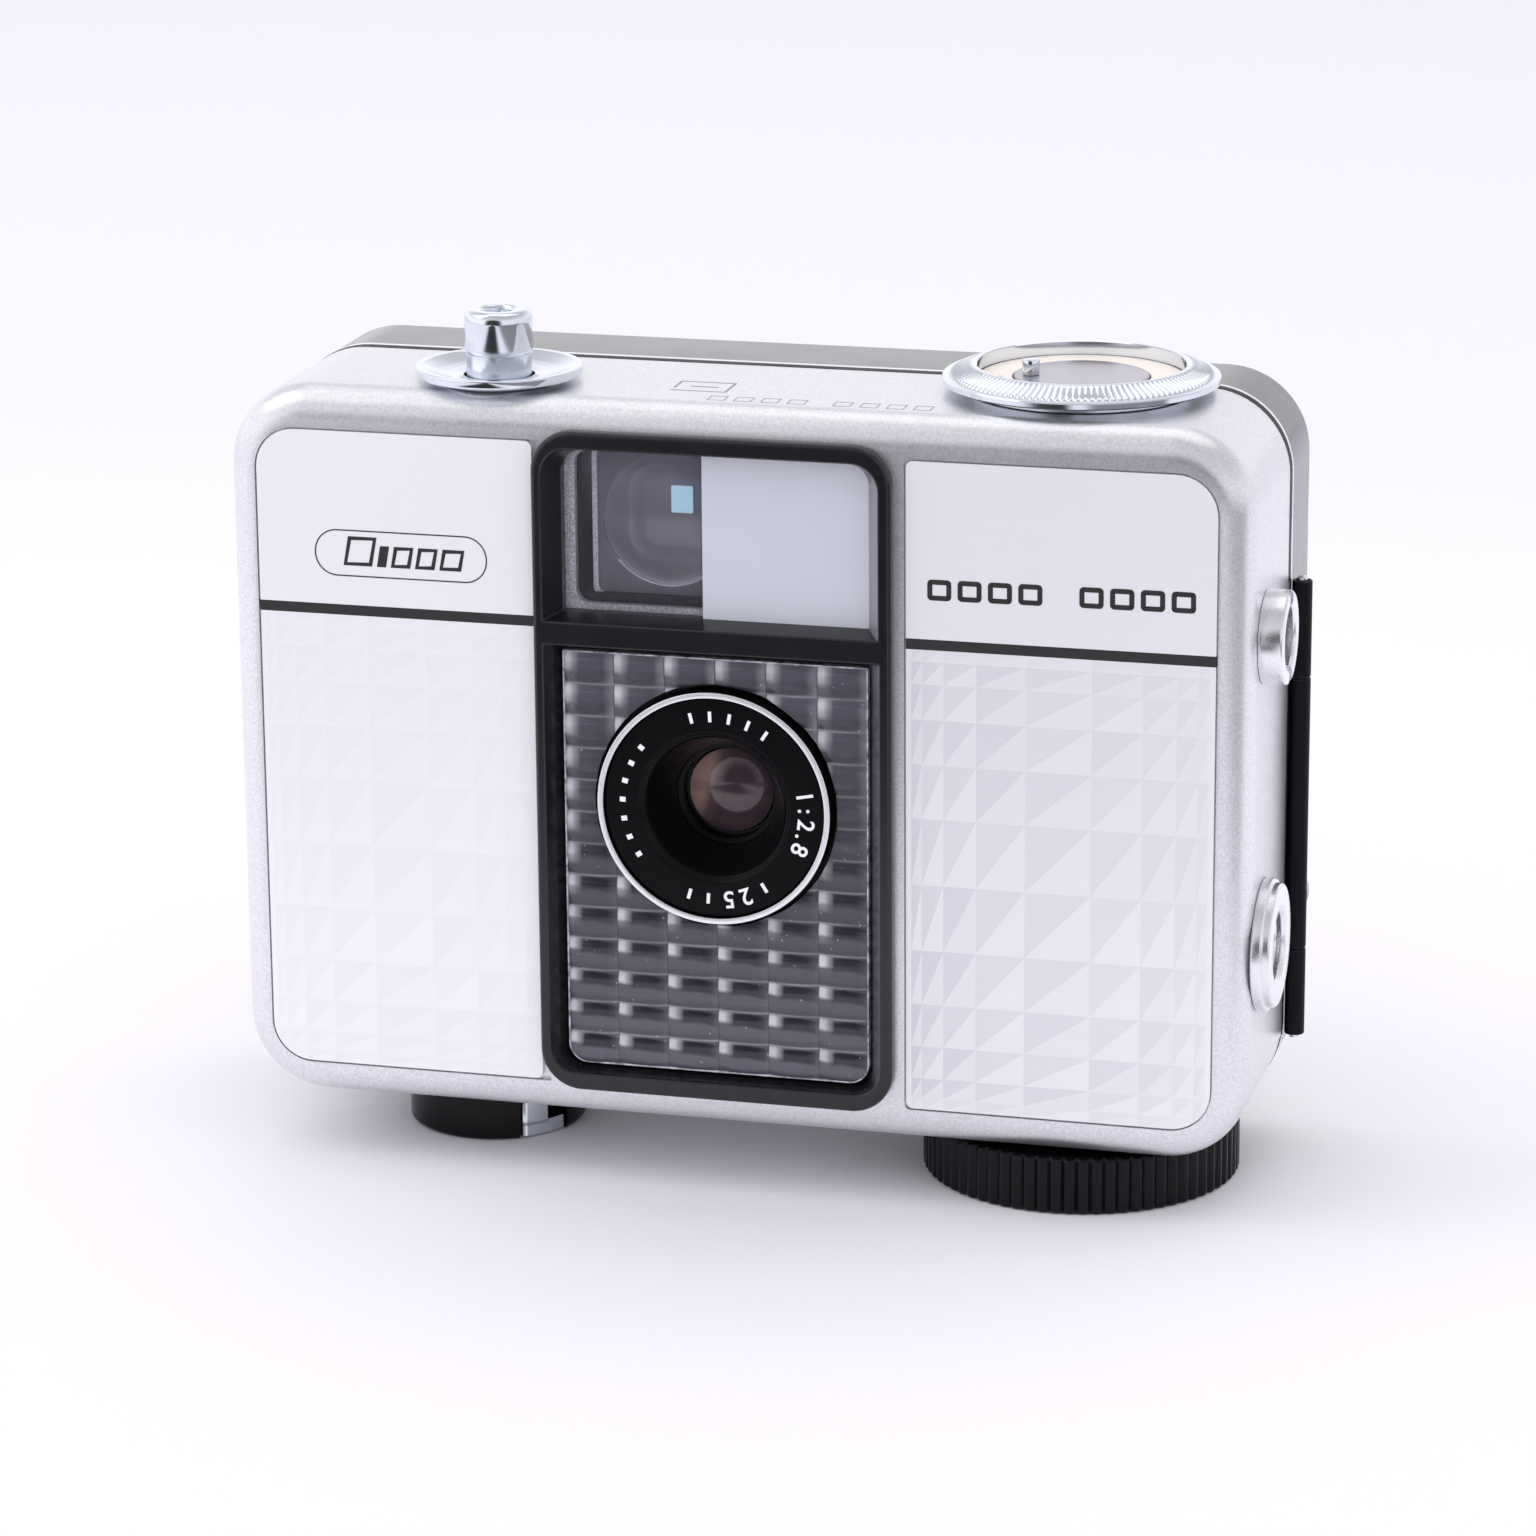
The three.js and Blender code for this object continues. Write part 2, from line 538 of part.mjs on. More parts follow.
function buttonCollar() {
  const bore = BUTTON.radius + 0.08;
  const profile = [[bore, TOP - 1.5], [3.5, TOP - 1.5], [3.5, TOP], [5.3, TOP], [6.8, TOP + 0.5],
    [7.0, TOP + 0.55], [7.0, TOP + 1.2], [6.9, TOP + 1.28], [6.3, TOP + 1.28], [4.2, TOP + 0.55],
    [bore, TOP + 0.5], [bore, TOP - 1.5]];
  return turnedZ(profile, BUTTON.x, BUTTON.y);
}

class Coil extends THREE.Curve {
  constructor(radius, start, height, turns) {
    super();
    Object.assign(this, { radius, start, height, turns });
  }

  getPoint(t, target = new THREE.Vector3()) {
    const angle = 2 * Math.PI * this.turns * t;
    const rise = this.start + this.height * t;
    return target.set(this.radius * Math.cos(angle), this.radius * Math.sin(angle), rise);
  }
}

function buttonSpring() {
  const { radius, wire: wireRadius, turns, gap, seat } = BUTTON_SPRING;
  const wire = new THREE.Shape();
  wire.absarc(0, 0, wireRadius, 0, 2 * Math.PI, false);
  const start = CARTRIDGE.top + seat;
  const path = new Coil(radius, start, BUTTON_FLANGE.bottom - gap - start, turns);
  const options = { steps: 48, extrudePath: path, bevelEnabled: false, curveSegments: 3 };
  return new THREE.ExtrudeGeometry(wire, options).translate(BUTTON.x, BUTTON.y, 0);
}

function exposureDial() {
  const { radius, rim, underside, top } = DIAL;
  const web = underside - 0.02;
  const hub = { bore: 2.15, radius: 3.0, bottom: 59.5, seat: 9.2 };
  const profile = [[hub.bore, hub.bottom], [hub.radius, hub.bottom], [hub.radius, TOP + 0.1],
    [hub.seat, TOP + 0.1], [hub.seat, underside], [radius - 0.15, underside], [radius, underside + 0.12],
    [radius, underside + 0.6], [radius - 0.7, underside + 0.75], [rim + 0.3, top], [rim, top - 0.05],
    [rim, web], [hub.bore, web], [hub.bore, hub.bottom]];
  return turnedZ(profile, DIAL.x, DIAL.y);
}

function dialScalePlate() {
  const bottom = DIAL.underside + 0.03;
  return turnedZ(ringProfile(DIAL.disc + 0.12, DIAL.rim - 0.08, bottom, bottom + 0.4), DIAL.x, DIAL.y);
}

function filmSpeedDisc() {
  const bottom = DIAL.underside + 0.03;
  const profile = [[0, 59.2], [1.95, 59.2], [1.95, bottom], [DIAL.disc, bottom], [DIAL.disc, bottom + 0.45],
    [DIAL.disc - 0.1, bottom + 0.55], [0, bottom + 0.55]];
  return turnedZ(profile, DIAL.x, DIAL.y, ROUND);
}

function filmSpeedPin() {
  const bottom = DIAL.underside + 0.58;
  const top = bottom + SPEED_PIN.height;
  const profile = [[0, bottom], [SPEED_PIN.radius, bottom], [SPEED_PIN.radius, top - 0.12],
    [SPEED_PIN.radius - 0.12, top], [0, top]];
  return turnedZ(profile, DIAL.x + SPEED_PIN.x, DIAL.y + SPEED_PIN.y, 16);
}

// ---------------------------------------------------------------- sockets on the right side
function pcSocketShell() {
  const { radius, bore, y, z } = PC_SOCKET;
  const tip = HALF + SIDE_PROUD;
  const profile = [[bore, HALF - 4], [3.05, HALF - 4], [3.05, HALF], [radius, HALF], [radius, tip - 0.15],
    [radius - 0.15, tip], [bore + 0.15, tip], [bore, tip - 0.15], [bore, HALF - 4]];
  const notch = box(tip - 0.55, tip + 1, y - 0.65, y + 0.65, z - 5, z + 5);
  return cut(turnedX(profile, y, z, ROUND), notch);
}

function pcSocketInsulator() {
  const profile = ringProfile(0.95, PC_SOCKET.bore - 0.03, HALF - 3.8, HALF - 0.2);
  return turnedX(profile, PC_SOCKET.y, PC_SOCKET.z, COARSE);
}

function pcSocketContact() {
  const profile = [[0, HALF - 3.9], [0.9, HALF - 3.9], [0.9, HALF + 1.2], [0.45, HALF + 1.2], [0.45, HALF],
    [0, HALF]];
  return turnedX(profile, PC_SOCKET.y, PC_SOCKET.z, 16);
}

function tripodBush() {
  const { y, z, flange, boss, hole, flangeHeight, height } = TRIPOD;
  const shank = { radius: 4.6, back: HALF - 6.5, holeBack: HALF - 5.5 };
  const profile = [[0, shank.back], [shank.radius, shank.back], [shank.radius, HALF],
    [flange - 0.15, HALF], [flange, HALF + 0.15], [flange, HALF + flangeHeight],
    [boss, HALF + flangeHeight], [boss, HALF + height - 0.1], [boss - 0.1, HALF + height],
    [hole + 0.3, HALF + height], [hole, HALF + height - 0.3], [hole, shank.holeBack],
    [0, shank.holeBack]];
  return turnedX(profile, y, z);
}

// ---------------------------------------------------------------- knobs underneath
function windingKnob() {
  const { x, y, radius, arbor, hub, seat } = WINDER;
  const bore = arbor + 0.15;
  const profile = [[bore, KNOB_TOP], [radius - 0.35, KNOB_TOP], [radius, KNOB_TOP - 0.35],
    [radius, 0.35 - KNOB_DROP], [radius - 0.35, -KNOB_DROP], [hub, -KNOB_DROP], [hub, seat], [bore, seat],
    [bore, KNOB_TOP]];
  return turnedZ(profile, x, y);
}

function windingKnobScrew() {
  const { x, y, hub, seat } = WINDER;
  const head = { radius: hub - 0.2, bottom: -5.0, top: seat - 0.02 };
  const tip = { radius: 1.0, top: -3.45 };
  const profile = [[0, head.bottom], [head.radius - 0.2, head.bottom], [head.radius, head.bottom + 0.2],
    [head.radius, head.top], [tip.radius, head.top], [tip.radius, tip.top], [0, tip.top]];
  const slot = box(x - hub, x + hub, y - 0.35, y + 0.35, -6, -4.6);
  return cut(turnedZ(profile, x, y, COARSE), slot);
}

function rewindKnobLocal() {
  const { radius } = REWIND;
  const body = turnedZ([[0, KNOB_TOP], [radius - 0.3, KNOB_TOP], [radius, KNOB_TOP - 0.3],
    [radius, 0.3 - KNOB_DROP], [radius - 0.3, -KNOB_DROP], [0, -KNOB_DROP]], 0, 0);
  const half = CRANK.slot / 2;
  return cut(
    body,
    box(-9, 9, -half, half, -KNOB_DROP - 1, -CRANK.slotTop),
    box(6.2, 9, -half, half, -KNOB_DROP - 1, -1.6),
    barZ(1.6, -4, 0, 0, 0, 16),
  );
}

function rewindCrankLocal() {
  const half = CRANK.width / 2;
  const top = -CRANK.axisDrop + 0.55;
  const bottom = -CRANK.axisDrop - 0.65;
  const end = CRANK.reach;
  const lever = join(
    box(CRANK.pivot, end, -half, half, bottom, top),
    barYLocal(0.6, -half, half, CRANK.pivot, -CRANK.axisDrop),
    box(end - 0.8, end, -half, half, bottom, -2.0),
  );
  return cut(lever, barYLocal(0.55, -4, 4, CRANK.pivot, -CRANK.axisDrop));
}

function barYLocal(radius, y0, y1, x, z) {
  return barY(radius, y0, y1, x, z, 16);
}

function rewindShaft() {
  const rod = barZ(1.45, -CRANK.slotTop + 0.1, 8, REWIND.x, REWIND.y, 16);
  const fork = box(REWIND.x - 2.2, REWIND.x + 2.2, REWIND.y - 0.4, REWIND.y + 0.4, 7.5, 11.5);
  return join(rod, fork);
}

// ---------------------------------------------------------------- film drive
function windingArbor() {
  return barZ(WINDER.arbor, -3.4, 48.6, WINDER.x, WINDER.y, 16);
}

function takeUpSpool() {
  const { core, bore, flange, bottom, top } = SPOOL;
  const inner = WINDER.arbor + 0.3;
  const floor = bottom + 1.2;
  const profile = [[inner, bottom], [flange, bottom], [flange, bottom + 1], [core, bottom + 1],
    [core, top - 1], [flange, top - 1], [flange, top], [bore, top], [bore, floor], [inner, floor],
    [inner, bottom]];
  const filmSlot = box(WINDER.x - 0.5, WINDER.x + 0.5, WINDER.y + 4, WINDER.y + 8, 23, 33);
  return cut(turnedZ(profile, WINDER.x, WINDER.y, ROUND), filmSlot);
}

// The flat spring that drives the film, wound in a spiral inside the take-up spool.
function mainspring() {
  const inner = 2.3;
  const outer = SPOOL.bore - 0.35;
  const turns = 4;
  const steps = 14 * turns;
  const strip = 0.3;
  const at = (i, side) => {
    const part = i / steps;
    const radius = inner + (outer - inner) * part + side * strip / 2;
    const angle = 2 * Math.PI * turns * part;
    return [radius * Math.cos(angle), radius * Math.sin(angle)];
  };
  const shape = new THREE.Shape();
  shape.moveTo(...at(0, 1));
  for (let i = 1; i <= steps; i += 1) shape.lineTo(...at(i, 1));
  for (let i = steps; i >= 0; i -= 1) shape.lineTo(...at(i, -1));
  return prism(shape, SPOOL.bottom + 3, SPOOL.top - 3).translate(WINDER.x, WINDER.y, 0);
}

function filmSprocket() {
  const { x, y, radius, teeth, tooth, rowOffset } = SPROCKET;
  const { radius: shaft, waist, bottom, top } = SPROCKET_SHAFT;
  const low = LENS.z - rowOffset;
  const high = LENS.z + rowOffset;
  const profile = [[0, bottom], [shaft, bottom], [shaft, low - 2], [radius, low - 2], [radius, low + 2],
    [waist, low + 2], [waist, high - 2], [radius, high - 2], [radius, high + 2], [shaft, high + 2],
    [shaft, top], [0, top]];
  const cogs = [];
  for (const row of [low, high]) {
    for (let i = 0; i < teeth; i += 1) {
      const cog = new THREE.CylinderGeometry(0.35, 0.75, tooth + 0.4, 4).rotateZ(-Math.PI / 2);
      cog.translate(radius + tooth / 2 - 0.2, 0, 0).rotateZ((2 * Math.PI * i) / teeth);
      cogs.push(cog.translate(x, y, row));
    }
  }
  return join(turnedZ(profile, x, y, COARSE), ...cogs);
}

function frameCounterDisc() {
  const profile = [[0, 1.4], [COUNTER.radius, 1.4], [COUNTER.radius, 1.9], [0.9, 1.9], [0.9, 4], [0, 4]];
  return turnedZ(profile, COUNTER.x, COUNTER.y, ROUND);
}

function rewindReleaseButton() {
  const { radius, x, y } = RELEASE;
  const profile = [[0, -0.9], [radius - 0.2, -0.9], [radius, -0.7], [radius, 1.35], [1.8, 1.35], [1.8, 1.9],
    [0, 1.9]];
  return turnedZ(profile, x, y, 16);
}

// ---------------------------------------------------------------- chassis inside
function filmChassis() {
  const gateHalf = { x: GATE.width / 2, z: GATE.height / 2 };
  const rails = RAIL_OFFSETS.map((offset) => {
    const z = LENS.z + offset;
    return box(LENS.x - RAIL.left, LENS.x + RAIL.right, RAIL.seat, RAIL.face, z - RAIL.half, z + RAIL.half);
  });
  const { left, right, bottom, front, step, rear } = CHASSIS;
  const blocks = join(
    box(left, right, front, step, bottom, 44.0),
    box(left + 0.2, 33.2, step - 0.5, rear, bottom, CHASSIS_SHOULDER),
    box(left, -15.2, front, rear, 43.0, CARTRIDGE.top + 1.5),
    box(14.5, right, front, step, 43.0, 49.0),
    ...rails,
  );
  const body = keep(blocks, slab(bodyOutline(WALL.side + 0.9), 0, BODY.depth));
  const spoolLow = SPOOL.bottom - SPOOL_WELL.below;
  const spoolHigh = SPOOL.top + SPOOL_WELL.above;
  const well = SPROCKET_WELL;
  return cut(
    body,
    barZ(CARTRIDGE.radius, CARTRIDGE.bottom, CARTRIDGE.top, REWIND.x, REWIND.y, ROUND),
    barZ(SPOOL_WELL.radius, spoolLow, spoolHigh, WINDER.x, WINDER.y, ROUND),
    box(19, 34, step - 0.5, 26, spoolLow, spoolHigh),
    barZ(well.radius, well.bottom, well.top, SPROCKET.x, SPROCKET.y),
    box(SPROCKET.x - well.radius, 19.5, SPROCKET.y, 26, well.bottom, well.top),
    barZ(SPROCKET_SHAFT.radius + 0.2, 5.5, 47.0, SPROCKET.x, SPROCKET.y, 16),
    barY(10.7, 2, SHUTTER.back, LENS.x, LENS.z, ROUND),
    barY(9.0, SHUTTER.back - 0.5, 13.5, LENS.x, LENS.z),
    box(LENS.x - gateHalf.x, LENS.x + gateHalf.x, 13.4, 26, LENS.z - gateHalf.z, LENS.z + gateHalf.z),
    barX(5.1, 35.6, 42, TRIPOD.y, TRIPOD.z),
    barX(3.5, 38.5, 42, PC_SOCKET.y, PC_SOCKET.z),
    barZ(WINDER.arbor + 0.25, 1, 50, WINDER.x, WINDER.y, 16),
    barZ(1.75, 1, 6, REWIND.x, REWIND.y, 16),
    barZ(1.1, 1, 4.4, COUNTER.x, COUNTER.y, 12),
    barZ(2.1, 1, 4.4, RELEASE.x, RELEASE.y, 16),
    ...SCREWS.x.map((x) => barZ(SCREWS.shank + 0.08, 1, 4.5, x, SCREWS.y, 16)),
  );
}

function meterCoilCase() {
  const { x, y, radius, bottom, top } = METER;
  const bore = 1.0;
  const profile = [[0, bottom], [radius, bottom], [radius, top], [bore, top], [bore, top - 0.6],
    [0, top - 0.6]];
  return turnedZ(profile, x, y, COARSE);
}

function meterNeedle() {
  const { x, y, top } = METER;
  const hub = barZ(0.8, top - 0.5, top + 1.2, x, y, 12);
  const pointer = box(x, x + 8.5, y - 0.2, y + 0.2, top + 0.6, top + 1.0);
  return join(hub, pointer);
}

// ---------------------------------------------------------------- back door, hinge and latch
function backDoor() {
  const fillet = BODY.backFillet;
  const full = filletedSlab(bodyOutline(0), 8, BODY.depth, fillet, fillet, 3, -fillet);
  const outer = keep(full, box(-50, 50, SEAM.y + SEAM.gap, 40, -1, 70));
  const cavity = slab(bodyOutline(WALL.side), 17, BODY.depth - WALL.door);
  const { x, z } = EYEPIECE;
  const half = EYEPIECE_HALF;
  const lug = CATCH_LUG;
  const shell = cut(
    outer,
    cavity,
    box(x - half.x, x + half.x, 26, 29, z - half.z, z + half.z),
  );
  const catchLug = box(-HALF + lug.inset, -HALF + lug.reach, lug.front, lug.back, LATCH.z - lug.below,
    LATCH.z - lug.gap);
  return join(shell, catchLug);
}

function backCovering() {
  const { left, right, bottom, top, corner, thickness } = COVERING;
  return slab(roundedRect(left, right, bottom, top, corner), BODY.depth, BODY.depth + thickness, 3);
}

function doorStud() {
  const { left, right, bottom, top, corner, proud } = STUD;
  const tab = slab(roundedRect(left, right, bottom, top, corner), BODY.depth + 0.05, BODY.depth + proud, 4);
  return join(tab, box(left + 0.6, left + 2.0, BODY.depth, BODY.depth + 0.5, bottom + 1.3, top - 1.3));
}

function knuckle(z0, z1) {
  return turnedZ(ringProfile(HINGE.pin + 0.06, HINGE.radius, z0, z1), HINGE.x, HINGE.y, 20);
}

function hingeBodyLeaf() {
  const { inner, outer, front, back } = HINGE_LEAF;
  const plate = box(inner, outer, front, back, HINGE.bottom, HINGE.top);
  const spans = [[HINGE.bottom, HINGE.lower - 0.1], [HINGE.upper + 0.1, HINGE.top]];
  const arms = spans.map(([z0, z1]) => box(outer - 0.2, HINGE.x - 0.2, front, back, z0, z1));
  return join(plate, ...arms, ...spans.map(([z0, z1]) => knuckle(z0, z1)));
}

function hingeDoorLeaf() {
  const { inner, outer, front, back } = HINGE_TAB;
  return join(box(inner, outer, front, back, HINGE.lower, HINGE.upper), knuckle(HINGE.lower, HINGE.upper));
}

function hingePin() {
  return barZ(HINGE.pin, HINGE.bottom - 0.35, HINGE.top + 0.35, HINGE.x, HINGE.y, 16);
}

function pressurePlate() {
  const { left, right, half, front, back } = PRESSER;
  return slab(roundedRect(LENS.x - left, LENS.x + right, LENS.z - half, LENS.z + half, 1), front, back, 2);
}

function pressureSpring() {
  const { half, foot, crown, thickness, halfHeight } = LEAF_SPRING;
  const leaf = new THREE.Shape();
  leaf.moveTo(-half, foot);
  leaf.quadraticCurveTo(0, crown, half, foot);
  leaf.lineTo(half, foot + thickness);
  leaf.quadraticCurveTo(0, crown + thickness, -half, foot + thickness);
  const middle = LENS.x + (PRESSER.right - PRESSER.left) / 2;
  return prism(leaf, LENS.z - halfHeight, LENS.z + halfHeight).translate(middle, 0, 0);
}

function latchSlider() {
  const { z, height, front, back, neckFront, neckBack } = LATCH;
  const { count, pitch, halfWidth, depth } = LATCH_GROOVES;
  const face = -HALF - SIDE_PROUD;
  const grip = box(face, -HALF - 0.1, front, back, z, z + height);
  const grooves = [];
  for (let i = 0; i < count; i += 1) {
    const middle = z + (i + 1) * pitch;
    const [low, high] = [middle - halfWidth, middle + halfWidth];
    grooves.push(box(face - 1, face + depth, front - 0.5, back + 0.5, low, high));
  }
  const neck = box(-HALF - 0.2, -HALF + 1.4, neckFront, neckBack, z + 1.4, z + 5.2);
  const tongue = box(-HALF + 1.3, -HALF + 2.0, 9, 20.5, z, z + height);
  return cut(join(grip, neck, tongue), ...grooves);
}

// ---------------------------------------------------------------- assembly
piece('front_shell', frontShell(), 'satinShell');
piece('left_face_plate', facePlate(-PLATE.outer, LEFT_PLATE_INNER), 'brushedPlate');
piece('right_face_plate', facePlate(PLATE.outer, RIGHT_PLATE_INNER), 'brushedPlate');
piece('window_frame', windowFrame(), 'glossBlack');
piece('finder_front_glass', pane(FINDER_OPENING.left - 0.4, PANE_SPLIT - 0.05), 'clear');
piece('bright_line_window', pane(PANE_SPLIT + 0.05, FINDER_OPENING.right + 0.4), 'opal');
piece('meter_lens_grid', meterLensGrid(), 'clear');
piece('selenium_cell', seleniumCell(), 'selenium');

piece('lens_trim_ring', lensTrimRing(), 'chrome');
piece('lens_face_ring', lensFaceRing(), 'glossBlack');
piece('front_lens_cell', frontLensCell(), 'satinBlack');
piece('front_lens_element', lensElement(4.5, 5.4, 6.3, 6.5), 'coated');
piece('middle_lens_element', lensElement(7.3, 6.9, 8.5, 8.0), 'clear');
piece('shutter_housing', shutterHousing(), 'steel');
piece('left_shutter_blade', shutterBlade(-1, 9.85), 'steel');
piece('right_shutter_blade', shutterBlade(1, 10.5), 'steel');
piece('rear_lens_cell', rearLensCell(), 'satinBlack');
piece('rear_lens_element', lensElement(12.2, 12.8, 14.0, 14.8), 'clear');

piece('finder_tunnel', finderTunnel(), 'satinBlack');
piece('finder_front_lens', finderFrontLens(), 'clear');
piece('meter_coil_case', meterCoilCase(), 'steel');
piece('meter_needle', meterNeedle(), 'brass');

piece('button_collar', buttonCollar(), 'chrome');
piece('shutter_button', shutterButton(), 'chrome');
piece('button_spring', buttonSpring(), 'steel');
piece('exposure_dial', exposureDial(), 'chrome');
piece('dial_scale_plate', dialScalePlate(), 'cream');
piece('film_speed_disc', filmSpeedDisc(), 'dialGrey');
piece('film_speed_pin', filmSpeedPin(), 'chrome');

piece('pc_socket_shell', pcSocketShell(), 'chrome');
piece('pc_socket_insulator', pcSocketInsulator(), 'satinBlack');
piece('pc_socket_contact', pcSocketContact(), 'brass');
piece('tripod_bush', tripodBush(), 'chrome');

piece('winding_knob', windingKnob(), 'glossBlack');
piece('winding_knob_screw', windingKnobScrew(), 'chrome');
piece('winding_arbor', windingArbor(), 'steel');
piece('mainspring', mainspring(), 'steel');
piece('take_up_spool', takeUpSpool(), 'satinBlack');
piece('film_sprocket', filmSprocket(), 'chrome');
piece('frame_counter_disc', frameCounterDisc(), 'satinBlack');
piece('counter_window', barZ(COUNTER.window, 0.1, 1.2, COUNTER.x + 3.4, COUNTER.y), 'clear');
piece('rewind_release_button', rewindReleaseButton(), 'chrome');
piece('rewind_shaft', rewindShaft(), 'steel');

const crankTurn = THREE.MathUtils.degToRad(REWIND.crankTurn);
for (const [name, geometry, finish] of [
  ['rewind_knob', rewindKnobLocal(), 'glossBlack'],
  ['rewind_crank', rewindCrankLocal(), 'steel'],
  ['rewind_crank_pin', barYLocal(0.45, -CRANK.slot / 2 + 0.02, CRANK.slot / 2 - 0.02, CRANK.pivot,
    -CRANK.axisDrop), 'steel'],
]) {
  const mesh = piece(name, geometry, finish);
  mesh.position.set(REWIND.x, REWIND.y, 0);
  mesh.rotation.z = crankTurn;
}

piece('film_chassis', filmChassis(), 'satinBlack');
SCREWS.x.forEach((x, i) => piece(`chassis_screw_${i + 1}`, chassisScrew(x), 'steel'));

piece('back_door', backDoor(), 'satinBlack');
piece('back_covering', backCovering(), 'leather');
piece('eyepiece_frame', eyepieceFrame(), 'satinBlack');
piece('eyepiece_lens', eyepieceLens(), 'clear');
piece('door_stud', doorStud(), 'steel');
piece('hinge_body_leaf', hingeBodyLeaf(), 'satinBlack');
piece('hinge_door_leaf', hingeDoorLeaf(), 'satinBlack');
piece('hinge_pin', hingePin(), 'chrome');
piece('pressure_plate', pressurePlate(), 'satinBlack');
piece('pressure_spring', pressureSpring(), 'steel');
piece('latch_slider', latchSlider(), 'chrome');

// The origin is on the table, under the middle of the camera's overall box.
const depthMiddle = (BODY.depth + EYEPIECE_PROUD - BEZEL_PROUD) / 2;
camera.position.set(0, -depthMiddle, KNOB_DROP);

export default camera;
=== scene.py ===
import math
import random
from functools import partialmethod

import bmesh
import bpy
from mathutils import Matrix, Vector


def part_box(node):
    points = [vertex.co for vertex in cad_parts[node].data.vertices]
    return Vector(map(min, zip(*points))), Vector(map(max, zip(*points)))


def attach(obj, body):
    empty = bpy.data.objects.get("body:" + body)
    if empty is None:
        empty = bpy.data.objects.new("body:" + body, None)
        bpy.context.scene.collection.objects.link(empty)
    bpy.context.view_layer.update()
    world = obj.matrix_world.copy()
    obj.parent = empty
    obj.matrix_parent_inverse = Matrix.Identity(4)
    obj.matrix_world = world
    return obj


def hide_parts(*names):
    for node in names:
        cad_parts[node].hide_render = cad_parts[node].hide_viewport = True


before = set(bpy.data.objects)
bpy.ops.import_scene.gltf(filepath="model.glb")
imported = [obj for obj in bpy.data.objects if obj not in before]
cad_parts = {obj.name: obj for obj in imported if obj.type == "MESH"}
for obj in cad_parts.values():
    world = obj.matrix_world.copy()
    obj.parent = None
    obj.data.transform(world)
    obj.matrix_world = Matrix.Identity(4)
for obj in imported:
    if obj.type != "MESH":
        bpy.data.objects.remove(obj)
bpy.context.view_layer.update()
MM = 0.001
TAU = 2 * math.pi

shell_low, shell_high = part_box("front_shell")
# Millimetres from the middle of the shell's width, its front plane and its floor.
ORIGIN = Vector(((shell_low.x + shell_high.x) / 2, shell_low.y, shell_low.z))


def place(x, y, z):
    return ORIGIN + Vector((x, y, z)) * MM


def cad(node):
    """A node's box in the shell's millimetres: lowest corner, highest corner."""
    low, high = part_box(node)
    return (low - ORIGIN) / MM, (high - ORIGIN) / MM


def cad_centre(node):
    low, high = cad(node)
    return (low + high) / 2


def turned_node(node, axis="Z"):
    """A turned node's centre in the plane square to its axis, its radius, and its box."""
    low, high = cad(node)
    u, v = {"X": (1, 2), "Y": (0, 2), "Z": (0, 1)}[axis]
    middle = (low + high) / 2
    return (middle[u], middle[v]), (high[u] - low[u]) / 2, low, high


# ---------------------------------------------------------------- finishes
class Nodes:
    """A shader's node tree being wired up, for a material or the world."""

    def __init__(self, owner, output):
        owner.use_nodes = True
        self.tree = owner.node_tree
        self.tree.nodes.clear()
        self.out = self.node(output)

    def node(self, kind, **settings):
        made = self.tree.nodes.new(kind)
        for key, value in settings.items():
            setattr(made, key, value)
        return made

    def put(self, socket, value):
        if isinstance(value, bpy.types.NodeSocket):
            self.tree.links.new(value, socket)
        elif value is not None:
            if socket.type == "RGBA" and len(value) == 3:
                value = (*value, 1.0)
            socket.default_value = value

    def vector(self, operation, a, b=None, scale=None):
        made = self.node("ShaderNodeVectorMath", operation=operation)
        self.put(made.inputs[0], a)
        if b is not None:
            self.put(made.inputs[1], b)
        if scale is not None:
            self.put(made.inputs["Scale"], scale)
        return made.outputs["Value" if operation in ("DOT_PRODUCT", "LENGTH") else "Vector"]

    def math(self, operation, a, b=None):
        made = self.node("ShaderNodeMath", operation=operation)
        self.put(made.inputs[0], a)
        self.put(made.inputs[1], b)
        return made.outputs[0]

    times = partialmethod(math, "MULTIPLY")
    plus = partialmethod(math, "ADD")
    minus = partialmethod(math, "SUBTRACT")
    over = partialmethod(math, "DIVIDE")

    def ramp(self, source, *stops):
        made = self.node("ShaderNodeValToRGB")
        while len(made.color_ramp.elements) < len(stops):
            made.color_ramp.elements.new(0.5)
        for element, (at, colour) in zip(made.color_ramp.elements, stops):
            element.position = at
            element.color = (*colour, 1.0) if isinstance(colour, tuple) else (colour, colour, colour, 1.0)
        self.put(made.inputs["Fac"], source)
        return made.outputs["Color"]

    def span(self, source, low, high):
        made = self.node("ShaderNodeMapRange")
        self.put(made.inputs["Value"], source)
        self.put(made.inputs["To Min"], low)
        self.put(made.inputs["To Max"], high)
        return made.outputs["Result"]

    def mix(self, share, a, b, blend="MIX"):
        made = self.node("ShaderNodeMix", data_type="RGBA", blend_type=blend)
        self.put(made.inputs["Factor"], share)
        self.put(made.inputs[6], a)
        self.put(made.inputs[7], b)
        return made.outputs[2]

    def finish(self, shader):
        self.tree.links.new(shader, self.out.inputs["Surface"])


